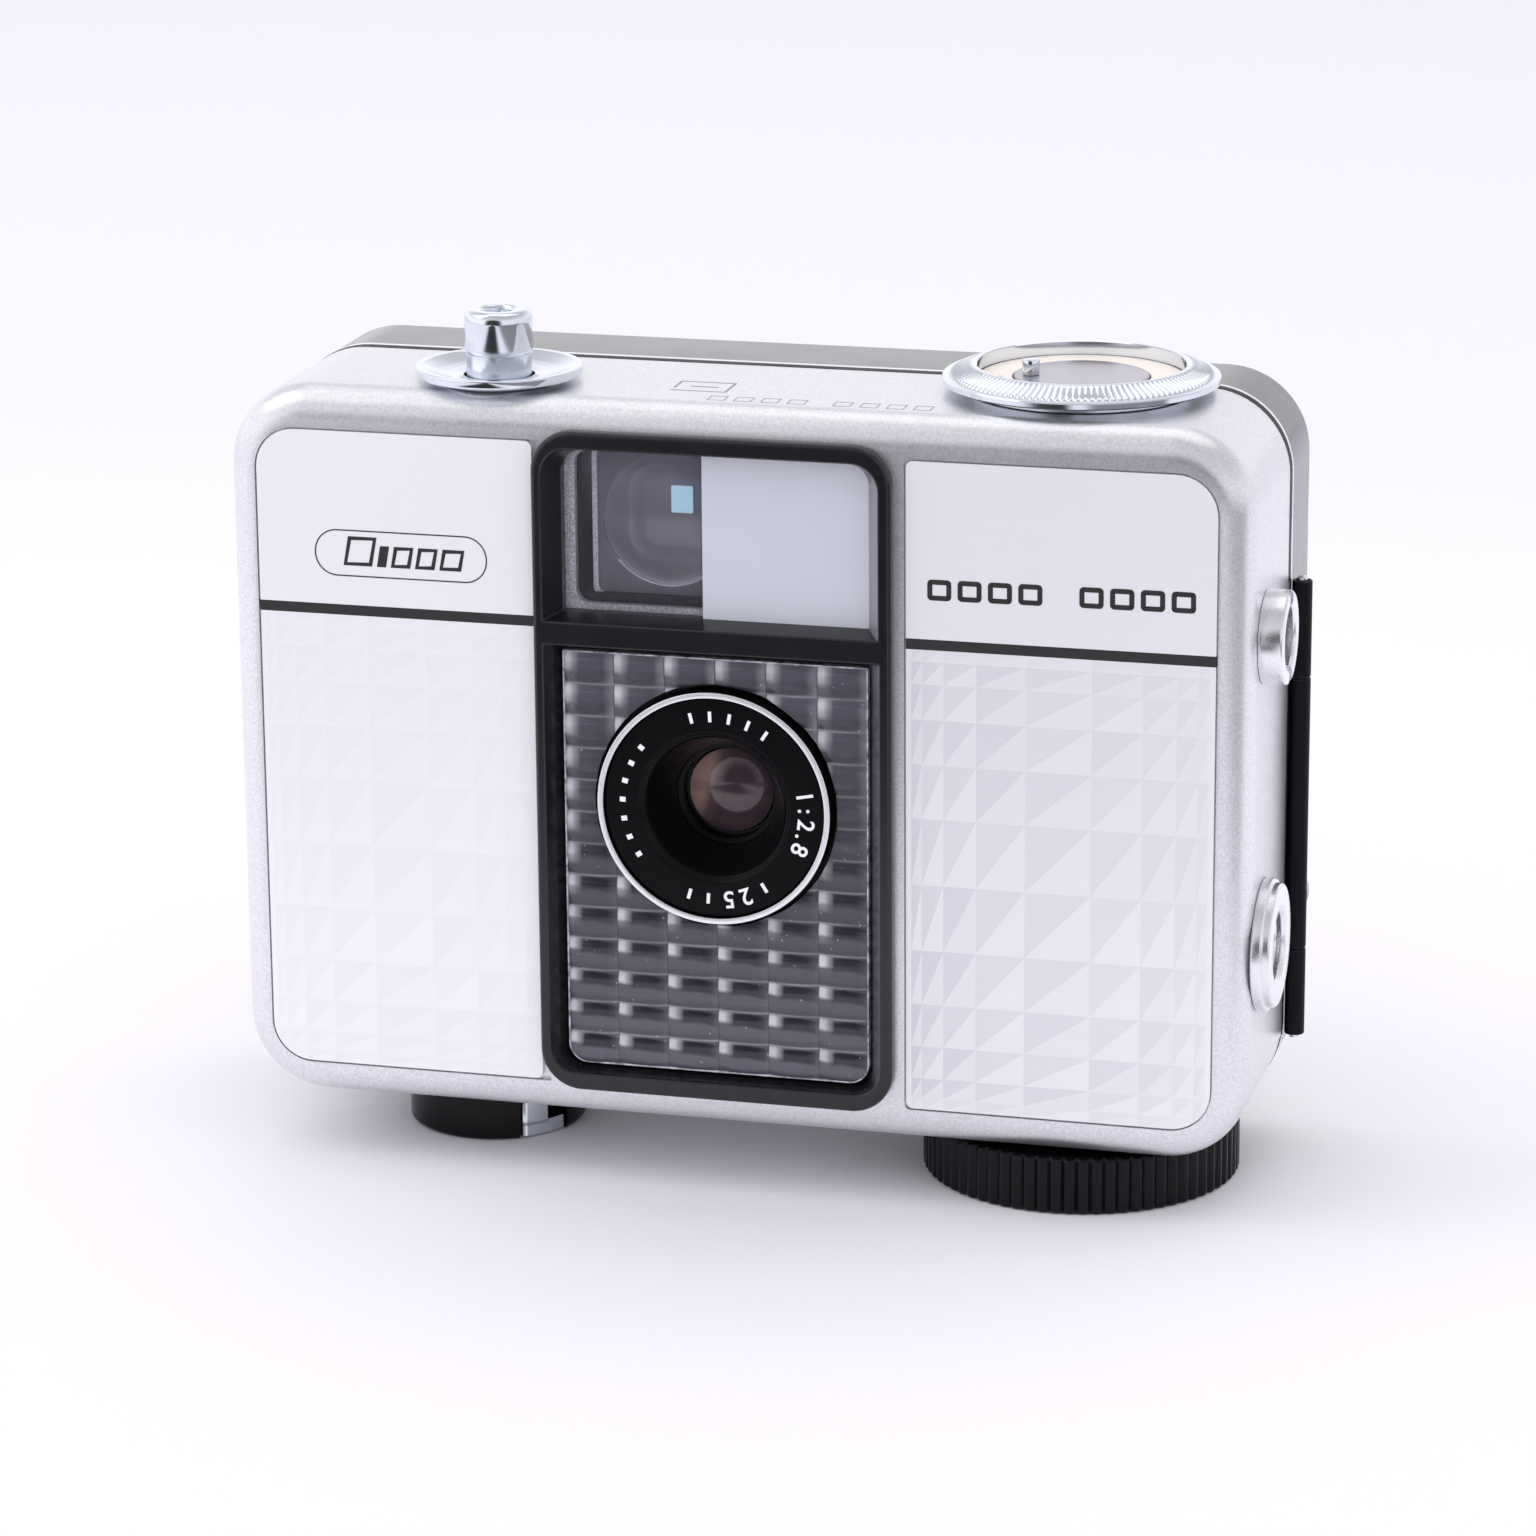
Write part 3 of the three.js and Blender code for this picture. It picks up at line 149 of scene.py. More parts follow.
class Finish(Nodes):
    """A procedural material. Its texture coordinates are in millimetres."""

    def __init__(self, name):
        self.material = bpy.data.materials.new(name)
        super().__init__(self.material, "ShaderNodeOutputMaterial")
        coordinates = self.node("ShaderNodeTexCoord").outputs["Object"]
        self.position = self.vector("SCALE", coordinates, scale=1000.0)

    def noise(self, scale, detail, stretch=(1.0, 1.0, 1.0), distortion=0.0):
        made = self.node("ShaderNodeTexNoise")
        self.put(made.inputs["Vector"], self.vector("MULTIPLY", self.position, stretch))
        self.put(made.inputs["Scale"], scale)
        self.put(made.inputs["Detail"], detail)
        self.put(made.inputs["Distortion"], distortion)
        return made.outputs["Fac"]

    def cells(self, scale):
        made = self.node("ShaderNodeTexVoronoi", feature="SMOOTH_F1")
        self.put(made.inputs["Vector"], self.position)
        self.put(made.inputs["Scale"], scale)
        return made.outputs["Distance"]

    def bump(self, height, depth_mm, strength):
        made = self.node("ShaderNodeBump")
        self.put(made.inputs["Height"], height)
        self.put(made.inputs["Distance"], depth_mm * MM)
        self.put(made.inputs["Strength"], strength)
        return made.outputs["Normal"]

    def edges(self, radius_mm):
        """0 on flat faces, rising to 1 on edges tighter than the radius."""
        rounded = self.node("ShaderNodeBevel", samples=3)
        self.put(rounded.inputs["Radius"], radius_mm * MM)
        flat = self.node("ShaderNodeNewGeometry").outputs["Normal"]
        alike = self.vector("DOT_PRODUCT", rounded.outputs["Normal"], flat)
        return self.times(self.minus(1.0, alike), 6.0)

    def across(self, centre, half=(0.0, 0.0)):
        """Distance in the front plane from a box round a centre, in the shell's millimetres."""
        middle = place(centre[0], 0, centre[1]) / MM
        away = self.vector("ABSOLUTE", self.vector("SUBTRACT", self.position, tuple(middle)))
        outside = self.vector("MAXIMUM", self.vector("SUBTRACT", away, (half[0], 0, half[1])), (0, 0, 0))
        return self.vector("LENGTH", self.vector("MULTIPLY", outside, (1, 0, 1)))

    def axis(self, letter, low, high):
        """0 at one station along an axis of the shell, 1 at another, carrying on past both."""
        split = self.node("ShaderNodeSeparateXYZ")
        self.put(split.inputs[0], self.position)
        start = (ORIGIN / MM)["XYZ".index(letter)] + low
        return self.over(self.minus(split.outputs[letter], start), high - low)

    def surface(self, **inputs):
        made = self.node("ShaderNodeBsdfPrincipled")
        for key, value in inputs.items():
            self.put(made.inputs[key.replace("_", " ")], value)
        return made.outputs[0]

    def finish(self, shader):
        super().finish(shader)
        return self.material


def satin_metal(name, colour, roughness=0.34, grain=5.0, depth=0.012, speckle=0.10, metallic=0.9):
    """Bead-blasted metal: a fine sparkling grain under very soft clouding."""
    f = Finish(name)
    fine = f.noise(grain, 2.0)
    cloud = f.noise(0.12, 3.0)
    dark = tuple(c * (1 - speckle) for c in colour)
    light = tuple(min(1.0, c * (1 + speckle)) for c in colour)
    tint = f.mix(f.span(cloud, 0.0, 0.25), f.ramp(fine, (0.35, dark), (0.65, light)), colour)
    rough = f.plus(f.span(fine, roughness - 0.05, roughness + 0.05), f.span(cloud, -0.03, 0.03))
    return f.finish(f.surface(Base_Color=tint, Metallic=metallic, Roughness=rough,
                              Normal=f.bump(fine, depth, 0.6)))


def polished_metal(name, colour, roughness):
    """Chrome plate: nearly a mirror, with faint handling marks and hairline scratches."""
    f = Finish(name)
    smears = f.noise(0.35, 4.0)
    lines = f.noise(3.0, 3.0, (1.0, 1.0, 8.0))
    rough = f.plus(f.span(smears, roughness * 0.6, roughness * 1.5), f.span(lines, -0.02, 0.03))
    tint = f.mix(f.span(smears, 0.0, 0.35), colour, tuple(c * 0.86 for c in colour))
    return f.finish(f.surface(Base_Color=tint, Metallic=1.0, Roughness=rough,
                              Normal=f.bump(lines, 0.003, 0.35)))


def face_plate_metal(name, light, dark, faint):
    """Brushed plate whose engraved facets carry painted shade, darker on one half of each, plus random
    variation per cell; the mesh holds both as a face attribute.
    """
    f = Finish(name)
    facet_shade_and_tone = f.node("ShaderNodeAttribute", attribute_name="facet_shade_and_tone").outputs["Fac"]
    hairlines = f.noise(2.0, 3.0, (0.25, 1.0, 9.0))
    cross = f.noise(6.0, 1.0, (4.0, 1.0, 0.6))
    cloud = f.noise(0.06, 2.0)
    # Painted shade: the facet attribute mixes the plate from its light colour toward its dark one.
    base = f.mix(f.times(facet_shade_and_tone, faint), light, dark)
    tint = f.mix(f.span(hairlines, 0.0, 0.16), base, tuple(c * 0.9 for c in dark))
    rough = f.plus(f.span(hairlines, 0.34, 0.46), f.times(facet_shade_and_tone, 0.10))
    rough = f.plus(rough, f.span(cloud, -0.03, 0.03))
    height = f.plus(hairlines, f.times(cross, f.times(facet_shade_and_tone, 0.8)))
    return f.finish(f.surface(Base_Color=tint, Metallic=0.3, Roughness=rough, Anisotropic=0.3,
                              Normal=f.bump(height, 0.006, 0.5)))


def black_plastic(name, colour, roughness, wear, shine, depth=0.002, coat=0.0, radius=0.25):
    """Moulded or lacquered black, with rubbed edges and faint smears."""
    f = Finish(name)
    smears = f.noise(0.25, 4.0)
    fine = f.noise(9.0, 2.0)
    rubbed = f.times(f.edges(radius), f.span(f.noise(1.3, 3.0), 0.2, 1.0))
    worn = tuple(c * 4 + 0.10 for c in colour)
    plain = f.mix(f.span(smears, 0.0, 0.5), colour, tuple(c * 1.5 for c in colour))
    tint = f.mix(f.times(rubbed, wear), plain, worn)
    rough = f.plus(f.span(smears, roughness * 0.75, roughness * 1.25), f.span(fine, -0.02, 0.02))
    return f.finish(f.surface(Base_Color=tint, Roughness=rough, Specular_IOR_Level=shine, Coat_Weight=coat,
                              Coat_Roughness=0.12, Normal=f.bump(fine, depth, 0.4)))


def frame_black(name):
    """The window frame's lacquer, with painted light: its right-hand walls carry a painted reflection of the
    light that comes off the panes, lighter higher up, and its edges a lighter colour that is partly rubbed
    wear and partly painted highlight.
    """
    f = Finish(name)
    fine, smears = f.noise(9.0, 2.0), f.noise(0.25, 4.0)
    # Painted reflection on the right-hand walls, in a colour that is lighter higher up.
    wall_reflection = f.times(facing(f, (-0.85, -0.53, 0)),
                   f.ramp(f.axis("X", 0.0, 4.0), (0.0, 0.0), (1.0, 1.0)))
    height = f.ramp(f.axis("Z", 38.0, 46.0), (0.0, (0.085, 0.08, 0.095)), (1.0, (0.22, 0.215, 0.25)))
    # Lighter edges: partly rubbed wear, partly painted highlight.
    rubbed = f.times(f.edges(0.25), f.span(f.noise(1.3, 3.0), 0.03, 0.16))
    tint = f.mix(f.math("POWER", wall_reflection, 2.0), f.mix(rubbed, (0.008, 0.0075, 0.0105), (0.13, 0.13, 0.14)),
                 height)
    return f.finish(f.surface(Base_Color=tint, Roughness=f.span(smears, 0.17, 0.28), Specular_IOR_Level=0.5,
                              Normal=f.bump(fine, 0.002, 0.4)))


def clear_glass(name, tint, veil):
    """A thin pane: see-through, mirror-like at a glance, with a faint bloom."""
    f = Finish(name)
    through = f.node("ShaderNodeBsdfTransparent")
    f.put(through.inputs["Color"], tint)
    shine = f.node("ShaderNodeBsdfGlossy")
    f.put(shine.inputs["Roughness"], f.span(f.noise(0.5, 3.0), 0.03, 0.06))
    bloom = f.node("ShaderNodeBsdfDiffuse")
    f.put(bloom.inputs["Color"], (0.6, 0.6, 0.68))
    fresnel = f.node("ShaderNodeFresnel")
    f.put(fresnel.inputs["IOR"], 1.5)

    def blend(share, a, b):
        mixed = f.node("ShaderNodeMixShader")
        for socket, value in zip(mixed.inputs, (share, a, b)):
            f.put(socket, value)
        return mixed.outputs[0]

    cloud = f.span(f.noise(0.8, 3.0), veil * 0.6, veil * 1.4)
    haze = blend(cloud, through.outputs[0], bloom.outputs[0])
    return f.finish(blend(fresnel.outputs[0], haze, shine.outputs[0]))


def facing(f, direction):
    """1 where a surface squarely faces a direction, falling to 0 some forty degrees away."""
    normal = f.node("ShaderNodeNewGeometry").outputs["Normal"]
    aim = Vector(direction).normalized()
    return f.ramp(f.vector("DOT_PRODUCT", normal, tuple(aim)), (0.78, 0.0), (0.96, 1.0))


def cushion_plastic(name):
    """Clear moulded cushions over a dark cell, with painted light: a painted highlight at each one's upper
    left, a painted shade band beside that, painted highlight lines on the cell edges and painted shade low in
    each cell.
    """
    f = Finish(name)
    left, right, bottom, top = CUSHION_FIELD
    bend = f.span(f.noise(0.5, 2.0), -0.05, 0.05)
    u = f.math("FRACT", f.times(f.axis("X", left, right), float(CUSHION_COLUMNS)))
    raw = f.math("FRACT", f.times(f.axis("Z", bottom, top), float(CUSHION_ROWS)))
    v = f.plus(raw, bend)
    up = f.axis("Z", bottom, top)
    bulge = f.times(f.math("POWER", f.math("ABSOLUTE", f.minus(u, 0.5)), 2.0), 0.5)
    # Painted highlight at the left of each cell, in its upper part, reaching lower in the upper rows.
    highlight_across = f.ramp(u, (0.0, 0.55), (0.03, 1.0), (0.13, 0.95), (0.20, 0.45), (0.33, 0.0))
    low_down = f.ramp(v, (0.58, 0.0), (0.68, 1.0), (0.80, 1.0), (0.93, 0.9), (1.0, 0.25))
    high_up = f.ramp(v, (0.30, 0.0), (0.45, 0.55), (0.72, 1.0), (0.93, 0.75), (1.0, 0.2))
    painted_highlight = f.times(highlight_across, f.mix(f.ramp(up, (0.25, 0.0), (0.6, 1.0)), low_down, high_up))
    # Painted shade band beside the highlight.
    shade_band_low = f.ramp(f.plus(v, bulge), (0.50, 0.0), (0.60, 0.9), (0.90, 1.0), (0.97, 0.1))
    shade_band_high = f.ramp(f.minus(v, bulge), (0.0, 0.1), (0.06, 0.9), (0.20, 1.0), (0.32, 0.35),
                       (0.5, 0.0))
    band = f.mix(f.ramp(up, (0.45, 0.0), (0.62, 1.0)), shade_band_low, shade_band_high)
    band = f.times(band, f.ramp(u, (0.20, 0.0), (0.32, 1.0), (0.90, 1.0), (1.0, 0.3)))
    broad = f.span(f.noise(0.12, 1.0, (1.0, 1.0, 0.7), 0.5), 0.75, 1.35)
    # Painted shade across the window: darkest in the middle rows, lighter at the bottom and top.
    grey = f.ramp(up, (0.0, (0.105, 0.10, 0.128)), (0.45, (0.05, 0.047, 0.062)),
                  (0.95, (0.085, 0.082, 0.104)))
    dark = f.ramp(up, (0.0, (0.010, 0.009, 0.014)), (0.3, (0.018, 0.017, 0.024)),
                  (1.0, (0.022, 0.020, 0.028)))
    # Painted shade at the bottom of each cell.
    falling = f.ramp(raw, (0.0, 0.45), (0.25, 0.0), (1.0, 0.0))
    body = f.mix(f.times(falling, broad), grey, dark)
    body = f.mix(f.times(band, broad), body, dark)
    lit = f.mix(f.times(painted_highlight, f.span(f.noise(0.35, 1.0), 0.55, 1.2)), body, (0.66, 0.65, 0.70))
    # Painted highlight line at the right edge of each cell, stronger higher up.
    right_edge_highlight = f.times(f.ramp(u, (0.80, 0.0), (0.985, 1.0), (1.0, 0.0)),
                         f.ramp(up, (0.45, 0.15), (0.9, 0.75)))
    lit = f.mix(f.times(right_edge_highlight, f.span(f.noise(0.4, 1.0), 0.2, 1.0)), lit, (0.34, 0.33, 0.38))
    # Painted highlight lines along the top and bottom edges of each cell.
    seam = f.ramp(raw, (0.0, 0.5), (0.045, 0.0), (0.93, 0.0), (0.985, 0.9))
    lined = f.mix(f.times(seam, f.span(f.noise(0.3, 1.0), 0.0, 1.3)), lit, (0.30, 0.29, 0.33))
    joint = f.ramp(u, (0.0, 0.75), (0.025, 0.0), (0.985, 0.0), (1.0, 0.75))
    lined = f.mix(f.times(joint, f.span(f.noise(0.6, 1.0), 0.3, 1.2)), lined, (0.02, 0.019, 0.026))
    streaks = f.noise(1.1, 2.0, (0.25, 1.0, 3.0), 0.4)
    tint = f.mix(f.span(streaks, 0.0, 0.3), lined, (0.06, 0.058, 0.072))
    specks = f.ramp(f.noise(2.4, 1.0), (0.74, 0.0), (0.79, 0.5))
    return f.finish(f.surface(Base_Color=f.mix(specks, tint, (0.45, 0.44, 0.48)),
                              Roughness=f.span(streaks, 0.08, 0.2),
                              Normal=f.bump(f.noise(0.9, 2.0), 0.03, 0.5)))


def cell_stripes(name):
    """The light cell: dark violet-grey with fine pale collector lines."""
    f = Finish(name)
    lines = f.node("ShaderNodeTexWave", wave_type="BANDS", bands_direction="Z")
    f.put(lines.inputs["Vector"], f.position)
    f.put(lines.inputs["Scale"], 0.55)
    tint = f.mix(f.ramp(lines.outputs["Fac"], (0.8, 0.0), (0.95, 0.6)), (0.03, 0.026, 0.036),
                 (0.25, 0.24, 0.28))
    mottle = f.mix(f.span(f.noise(0.8, 4.0), 0.0, 0.5), tint, (0.06, 0.05, 0.07))
    return f.finish(f.surface(Base_Color=mottle, Metallic=0.3, Roughness=0.4))


def coated_lens(name):
    """A coated front element with a painted reflection: brown at the lit side, violet in the middle, rose at
    the far edge, with faint painted ghost reflections.
    """
    f = Finish(name)
    normal = f.node("ShaderNodeNewGeometry").outputs["Normal"]
    # Painted reflection: the colour follows how squarely the surface faces left and slightly up.
    side = f.vector("DOT_PRODUCT", normal, tuple(Vector((-0.96, 0.0, 0.28)).normalized()))
    reflection_sweep = f.ramp(f.span(side, 0.5, 1.0), (0.30, (0.30, 0.21, 0.24)), (0.42, (0.09, 0.06, 0.075)),
                   (0.52, (0.045, 0.037, 0.05)), (0.60, (0.09, 0.07, 0.072)), (0.66, (0.30, 0.225, 0.205)))
    # Painted ghost reflections.
    ghost_reflections = f.ramp(f.noise(0.35, 1.0, (0.5, 1.0, 2.2)), (0.45, 0.0), (0.6, 1.0))
    tint = f.mix(f.times(ghost_reflections, 0.3), reflection_sweep, (0.10, 0.07, 0.07))
    return f.finish(f.surface(Base_Color=tint, Roughness=0.12, Coat_Weight=0.6, Coat_Roughness=0.05,
                              Coat_Tint=(0.85, 0.65, 0.62)))


def finder_glass(name):
    """The smoky front lens of the finder, with painted reflections: nested painted reflections of its own
    window, one pale painted curve below.
    """
    f = Finish(name)
    ring = f.across(FINDER_EYE)
    # Painted reflection: a pale ring round the lens centre, strongest below.
    arc = f.ramp(f.over(ring, 8.0), (0.60, 0.0), (0.66, 0.35), (0.69, 1.0), (0.715, 0.0))
    low_down = f.ramp(f.axis("Z", FINDER_EYE[1] - 2.0, FINDER_EYE[1] - 5.5), (0.0, 0.12), (1.0, 1.0))
    # Painted reflections of the window, nested round a point beside the lens centre, kept to a band just
    # below the middle and, more faintly, to the left.
    nested = f.across((FINDER_EYE[0] + 1.0, FINDER_EYE[1] + 0.4), (2.0, 1.6))
    inside = f.ramp(f.over(nested, 4.0), (0.0, 0.9), (0.28, 0.75), (0.36, 0.2), (0.46, 0.25),
                    (0.54, 0.6),
                    (0.62, 1.0), (0.66, 0.2), (0.72, 0.0))
    leftward = f.ramp(f.axis("X", FINDER_EYE[0] + 1.0, FINDER_EYE[0] - 3.0), (0.0, 0.35), (1.0, 1.0))
    below = f.ramp(f.axis("Z", FINDER_EYE[1] + 0.6, FINDER_EYE[1] - 0.6), (0.0, 0.12), (1.0, 1.0))
    lower = f.ramp(f.axis("Z", FINDER_EYE[1] - 2.6, FINDER_EYE[1] - 3.8), (0.0, 1.0), (1.0, 0.2))
    strips = f.math("MAXIMUM", f.times(below, lower), f.times(leftward, 0.5))
    window = f.times(inside, strips)
    smoke = f.mix(f.span(f.noise(0.45, 3.0), 0.0, 0.6), (0.19, 0.18, 0.215), (0.32, 0.295, 0.345))
    whole = f.mix(f.times(window, 0.85), smoke, (0.42, 0.385, 0.43))
    tint = f.mix(f.times(arc, low_down), whole, (0.62, 0.60, 0.64))
    dust = f.ramp(f.noise(4.0, 1.0), (0.70, 0.0), (0.76, 1.0))
    return f.finish(f.surface(Base_Color=f.mix(f.times(dust, 0.3), tint, (0.6, 0.6, 0.64)),
                              Roughness=f.span(f.noise(0.6, 3.0), 0.10, 0.22)))


def lit_pane(name, colour):
    """A pane that glows: painted light for the pale blue square seen in the finder lens."""
    f = Finish(name)
    haze = f.noise(0.5, 3.0)
    tint = f.mix(f.span(haze, 0.0, 0.4), colour, tuple(c * 0.8 for c in colour))
    return f.finish(f.surface(Base_Color=tint, Roughness=0.3, Emission_Color=tint, Emission_Strength=0.85))


def opal_plastic(name, colour):
    f = Finish(name)
    cloud = f.noise(0.15, 4.0)
    grain = f.noise(7.0, 2.0)
    tint = f.mix(f.span(cloud, 0.0, 0.3), colour, tuple(c * 0.93 for c in colour))
    return f.finish(f.surface(Base_Color=tint, Roughness=f.span(grain, 0.3, 0.4), Subsurface_Weight=0.15,
                              Subsurface_Radius=(0.001, 0.001, 0.001), Normal=f.bump(grain, 0.003, 0.4)))


def leatherette(name):
    """Pressed grain: rounded pebbles of uneven size between fine creases, with painted shade darkening the
    creases.
    """
    f = Finish(name)
    pebbles = f.cells(1.15)
    fine = f.noise(4.5, 3.0)
    height = f.minus(f.times(fine, 0.35), pebbles)
    # Painted shade: the lower parts of the grain are darker.
    tint = f.ramp(height, (0.0, (0.010, 0.0095, 0.011)), (0.6, (0.035, 0.033, 0.036)))
    return f.finish(f.surface(Base_Color=tint, Roughness=f.span(pebbles, 0.45, 0.62),
                              Normal=f.bump(height, 0.16, 0.9)))


def printed(name, colour):
    """Printing ink: flat colour with slightly broken density."""
    f = Finish(name)
    density = f.noise(6.0, 3.0)
    tint = f.mix(f.span(density, 0.0, 0.3), colour, tuple(c * 0.7 + 0.05 for c in colour))
    return f.finish(f.surface(Base_Color=tint, Roughness=f.span(density, 0.37, 0.53)))


def spun_disc(name, colour, metallic, roughness):
    f = Finish(name)
    centre = place(*cad_centre("film_speed_disc")) / MM
    flat = f.vector("SUBTRACT", f.vector("MULTIPLY", f.position, (1.0, 1.0, 0.0)), (centre.x, centre.y, 0.0))
    rings = f.node("ShaderNodeTexNoise", noise_dimensions="1D")
    f.put(rings.inputs["W"], f.vector("LENGTH", flat))
    f.put(rings.inputs["Scale"], 9.0)
    tint = f.mix(f.span(rings.outputs["Fac"], 0.0, 0.5), colour, tuple(c * 0.8 for c in colour))
    return f.finish(f.surface(Base_Color=tint, Metallic=metallic,
                              Roughness=f.span(rings.outputs["Fac"], roughness - 0.08, roughness + 0.08),
                              Normal=f.bump(rings.outputs["Fac"], 0.004, 0.4)))


def cloth_floor(name):
    """A pale seamless sheet with a just visible weave and painted light: a painted falloff that dims it with
    distance, and painted dark reflections from ahead and from the right.
    """
    f = Finish(name)
    weave = f.times(f.noise(2.2, 1.0, (8.0, 0.8, 1.0)), f.noise(2.2, 1.0, (0.8, 8.0, 1.0)))
    away = f.vector("LENGTH", f.vector("MULTIPLY", f.position, (0.6, 1.0, 0.0)))
    # Painted falloff: the sheet is lighter near the object and darker farther away.
    far = f.ramp(f.over(away, 900.0), (0.05, (0.78, 0.765, 0.80)), (0.15, (0.775, 0.765, 0.805)),
                 (0.30, (0.70, 0.69, 0.74)), (0.9, (0.665, 0.66, 0.705)))
    cloth = f.mix(f.span(weave, 0.0, 0.10), far, (0.70, 0.68, 0.72))
    split = f.node("ShaderNodeSeparateXYZ")
    f.put(split.inputs[0], f.position)
    dark = (0.02, 0.02, 0.022)
    # Painted dark reflections: seen only in reflections, the floor ahead and to the right turns dark.
    glossy = f.node("ShaderNodeLightPath").outputs["Is Glossy Ray"]
    ahead = f.ramp(f.over(f.times(split.outputs["Y"], -1.0), 400.0), (0.25, 0.0), (0.36, 1.0))
    aside = f.over(f.math("ABSOLUTE", f.plus(split.outputs["X"], 50.0)), 200.0)
    beyond = f.times(ahead, f.ramp(aside, (0.34, 1.0), (0.55, 0.0)))
    tint = f.mix(f.times(beyond, glossy), cloth, dark)
    rightward = f.ramp(f.over(split.outputs["X"], 400.0), (0.25, 0.0), (0.36, 0.75))
    forward = f.ramp(f.over(f.plus(split.outputs["Y"], 60.0), 400.0), (0.04, 1.0), (0.13, 0.0))
    tint = f.mix(f.times(f.times(rightward, forward), glossy), tint, dark)
    return f.finish(f.surface(Base_Color=tint, Roughness=0.85, Specular_IOR_Level=0.1,
                              Normal=f.bump(weave, 0.12, 0.25)))


# The meter window's left, right, bottom and top, and the middle of the finder's lens.
CUSHION_FIELD = (-14.3, 11.8, 4.95, 40.95)
CUSHION_COLUMNS, CUSHION_ROWS = 6, 13
FINDER_EYE = (-6.2, 51.5)

SHELL = satin_metal("satin_shell", (0.80, 0.80, 0.835))
CAST = satin_metal("cast_grey", (0.74, 0.73, 0.77), 0.42, 7.0, 0.012, 0.42, 0.1)
PLATE_LEFT = face_plate_metal("face_plate_left", (0.90, 0.895, 0.92), (0.76, 0.755, 0.80), 0.45)
PLATE_RIGHT = face_plate_metal("face_plate_right", (0.845, 0.84, 0.87), (0.67, 0.66, 0.71), 0.8)
CHROME = polished_metal("chrome", (0.80, 0.84, 0.90), 0.09)
SATIN_CHROME = satin_metal("satin_chrome", (0.74, 0.78, 0.85), 0.24, 8.0, 0.004, 0.05, 1.0)
RING_SILVER = satin_metal("ring_silver", (0.93, 0.92, 0.95), 0.30, 6.0, 0.004, 0.04, 0.75)
STEEL = satin_metal("steel", (0.46, 0.46, 0.48), 0.34, 6.0, 0.006, 0.12, 1.0)
BRASS = satin_metal("brass", (0.62, 0.44, 0.18), 0.30, 6.0, 0.005, 0.10, 1.0)
FRAME_BLACK = frame_black("frame_black")
RING_BLACK = black_plastic("ring_black", (0.0028, 0.0028, 0.0036), 0.28, wear=0.03, shine=0.1)
KNOB_BLACK = black_plastic("knob_black", (0.0022, 0.0022, 0.0032), 0.20, wear=0.10, radius=0.15, shine=0.2)
SATIN_BLACK = black_plastic("satin_black", (0.014, 0.013, 0.016), 0.42, depth=0.01, wear=0.3, shine=0.4)
DOOR_BLACK = black_plastic("door_black", (0.016, 0.0145, 0.018), 0.30, depth=0.01, coat=0.7, wear=0.3,
                           shine=0.55)
HINGE_BLACK = black_plastic("hinge_black", (0.006, 0.0055, 0.008), 0.36, depth=0.01, wear=0.25, radius=0.2,
                            shine=0.08)
TURNED = satin_metal("turned_silver", (0.88, 0.885, 0.92), 0.27, 7.0, 0.004, 0.04, 1.0)
MATT_BLACK = black_plastic("matt_black", (0.012, 0.011, 0.013), 0.6, depth=0.01, wear=0.1, shine=0.3)
LEATHER = leatherette("leatherette")
CLEAR = clear_glass("clear_pane", (0.97, 0.97, 0.99), 0.03)
FINDER_GLASS = finder_glass("finder_glass")
BLOCK_GREY = satin_metal("block_grey", (0.80, 0.78, 0.83), 0.35, 5.0, 0.01, 0.22, 0.0)
# Pale grey for the painted highlight on the meter pane's edge.
PANE_EDGE_HIGHLIGHT = satin_metal("pane_edge_highlight", (0.36, 0.35, 0.40), 0.2, 1.2, 0.01, 0.7, 0.0)
OPAL = opal_plastic("opal_window", (0.56, 0.575, 0.64))
FINDER_LIGHT_PANE = lit_pane("painted_finder_light", (0.33, 0.50, 0.60))
CUSHIONS = cushion_plastic("meter_cushions")
CELL = cell_stripes("light_cell")
COATED = coated_lens("coated_glass")
CREAM = spun_disc("cream_scale", (0.84, 0.78, 0.70), 0.0, 0.45)
DIAL_GREY = spun_disc("dial_grey", (0.42, 0.40, 0.44), 0.75, 0.20)
INK = printed("black_ink", (0.012, 0.012, 0.014))
WHITE_INK = printed("white_ink", (0.86, 0.85, 0.84))
GREY_INK = printed("grey_ink", (0.22, 0.215, 0.235))


# ---------------------------------------------------------------- forms
class Form:
    """Vertices in millimetres, faces, and a material index for each face."""

    def __init__(self):
        self.verts = []
        self.faces = []
        self.tags = []

    def add(self, verts, faces, tag=0):
        start = len(self.verts)
        self.verts += [tuple(v) for v in verts]
        self.faces += [tuple(start + i for i in face) for face in faces]
        self.tags += [tag] * len(faces) if isinstance(tag, int) else list(tag)
        return self


def joined(forms):
    whole = Form()
    for form in forms:
        whole.add(form.verts, form.faces, form.tags)
    return whole


def turn_z(form, x, y, degrees):
    angle = math.radians(degrees)
    c, s = math.cos(angle), math.sin(angle)
    form.verts = [(x + (px - x) * c - (py - y) * s, y + (px - x) * s + (py - y) * c, pz)
                  for px, py, pz in form.verts]
    return form


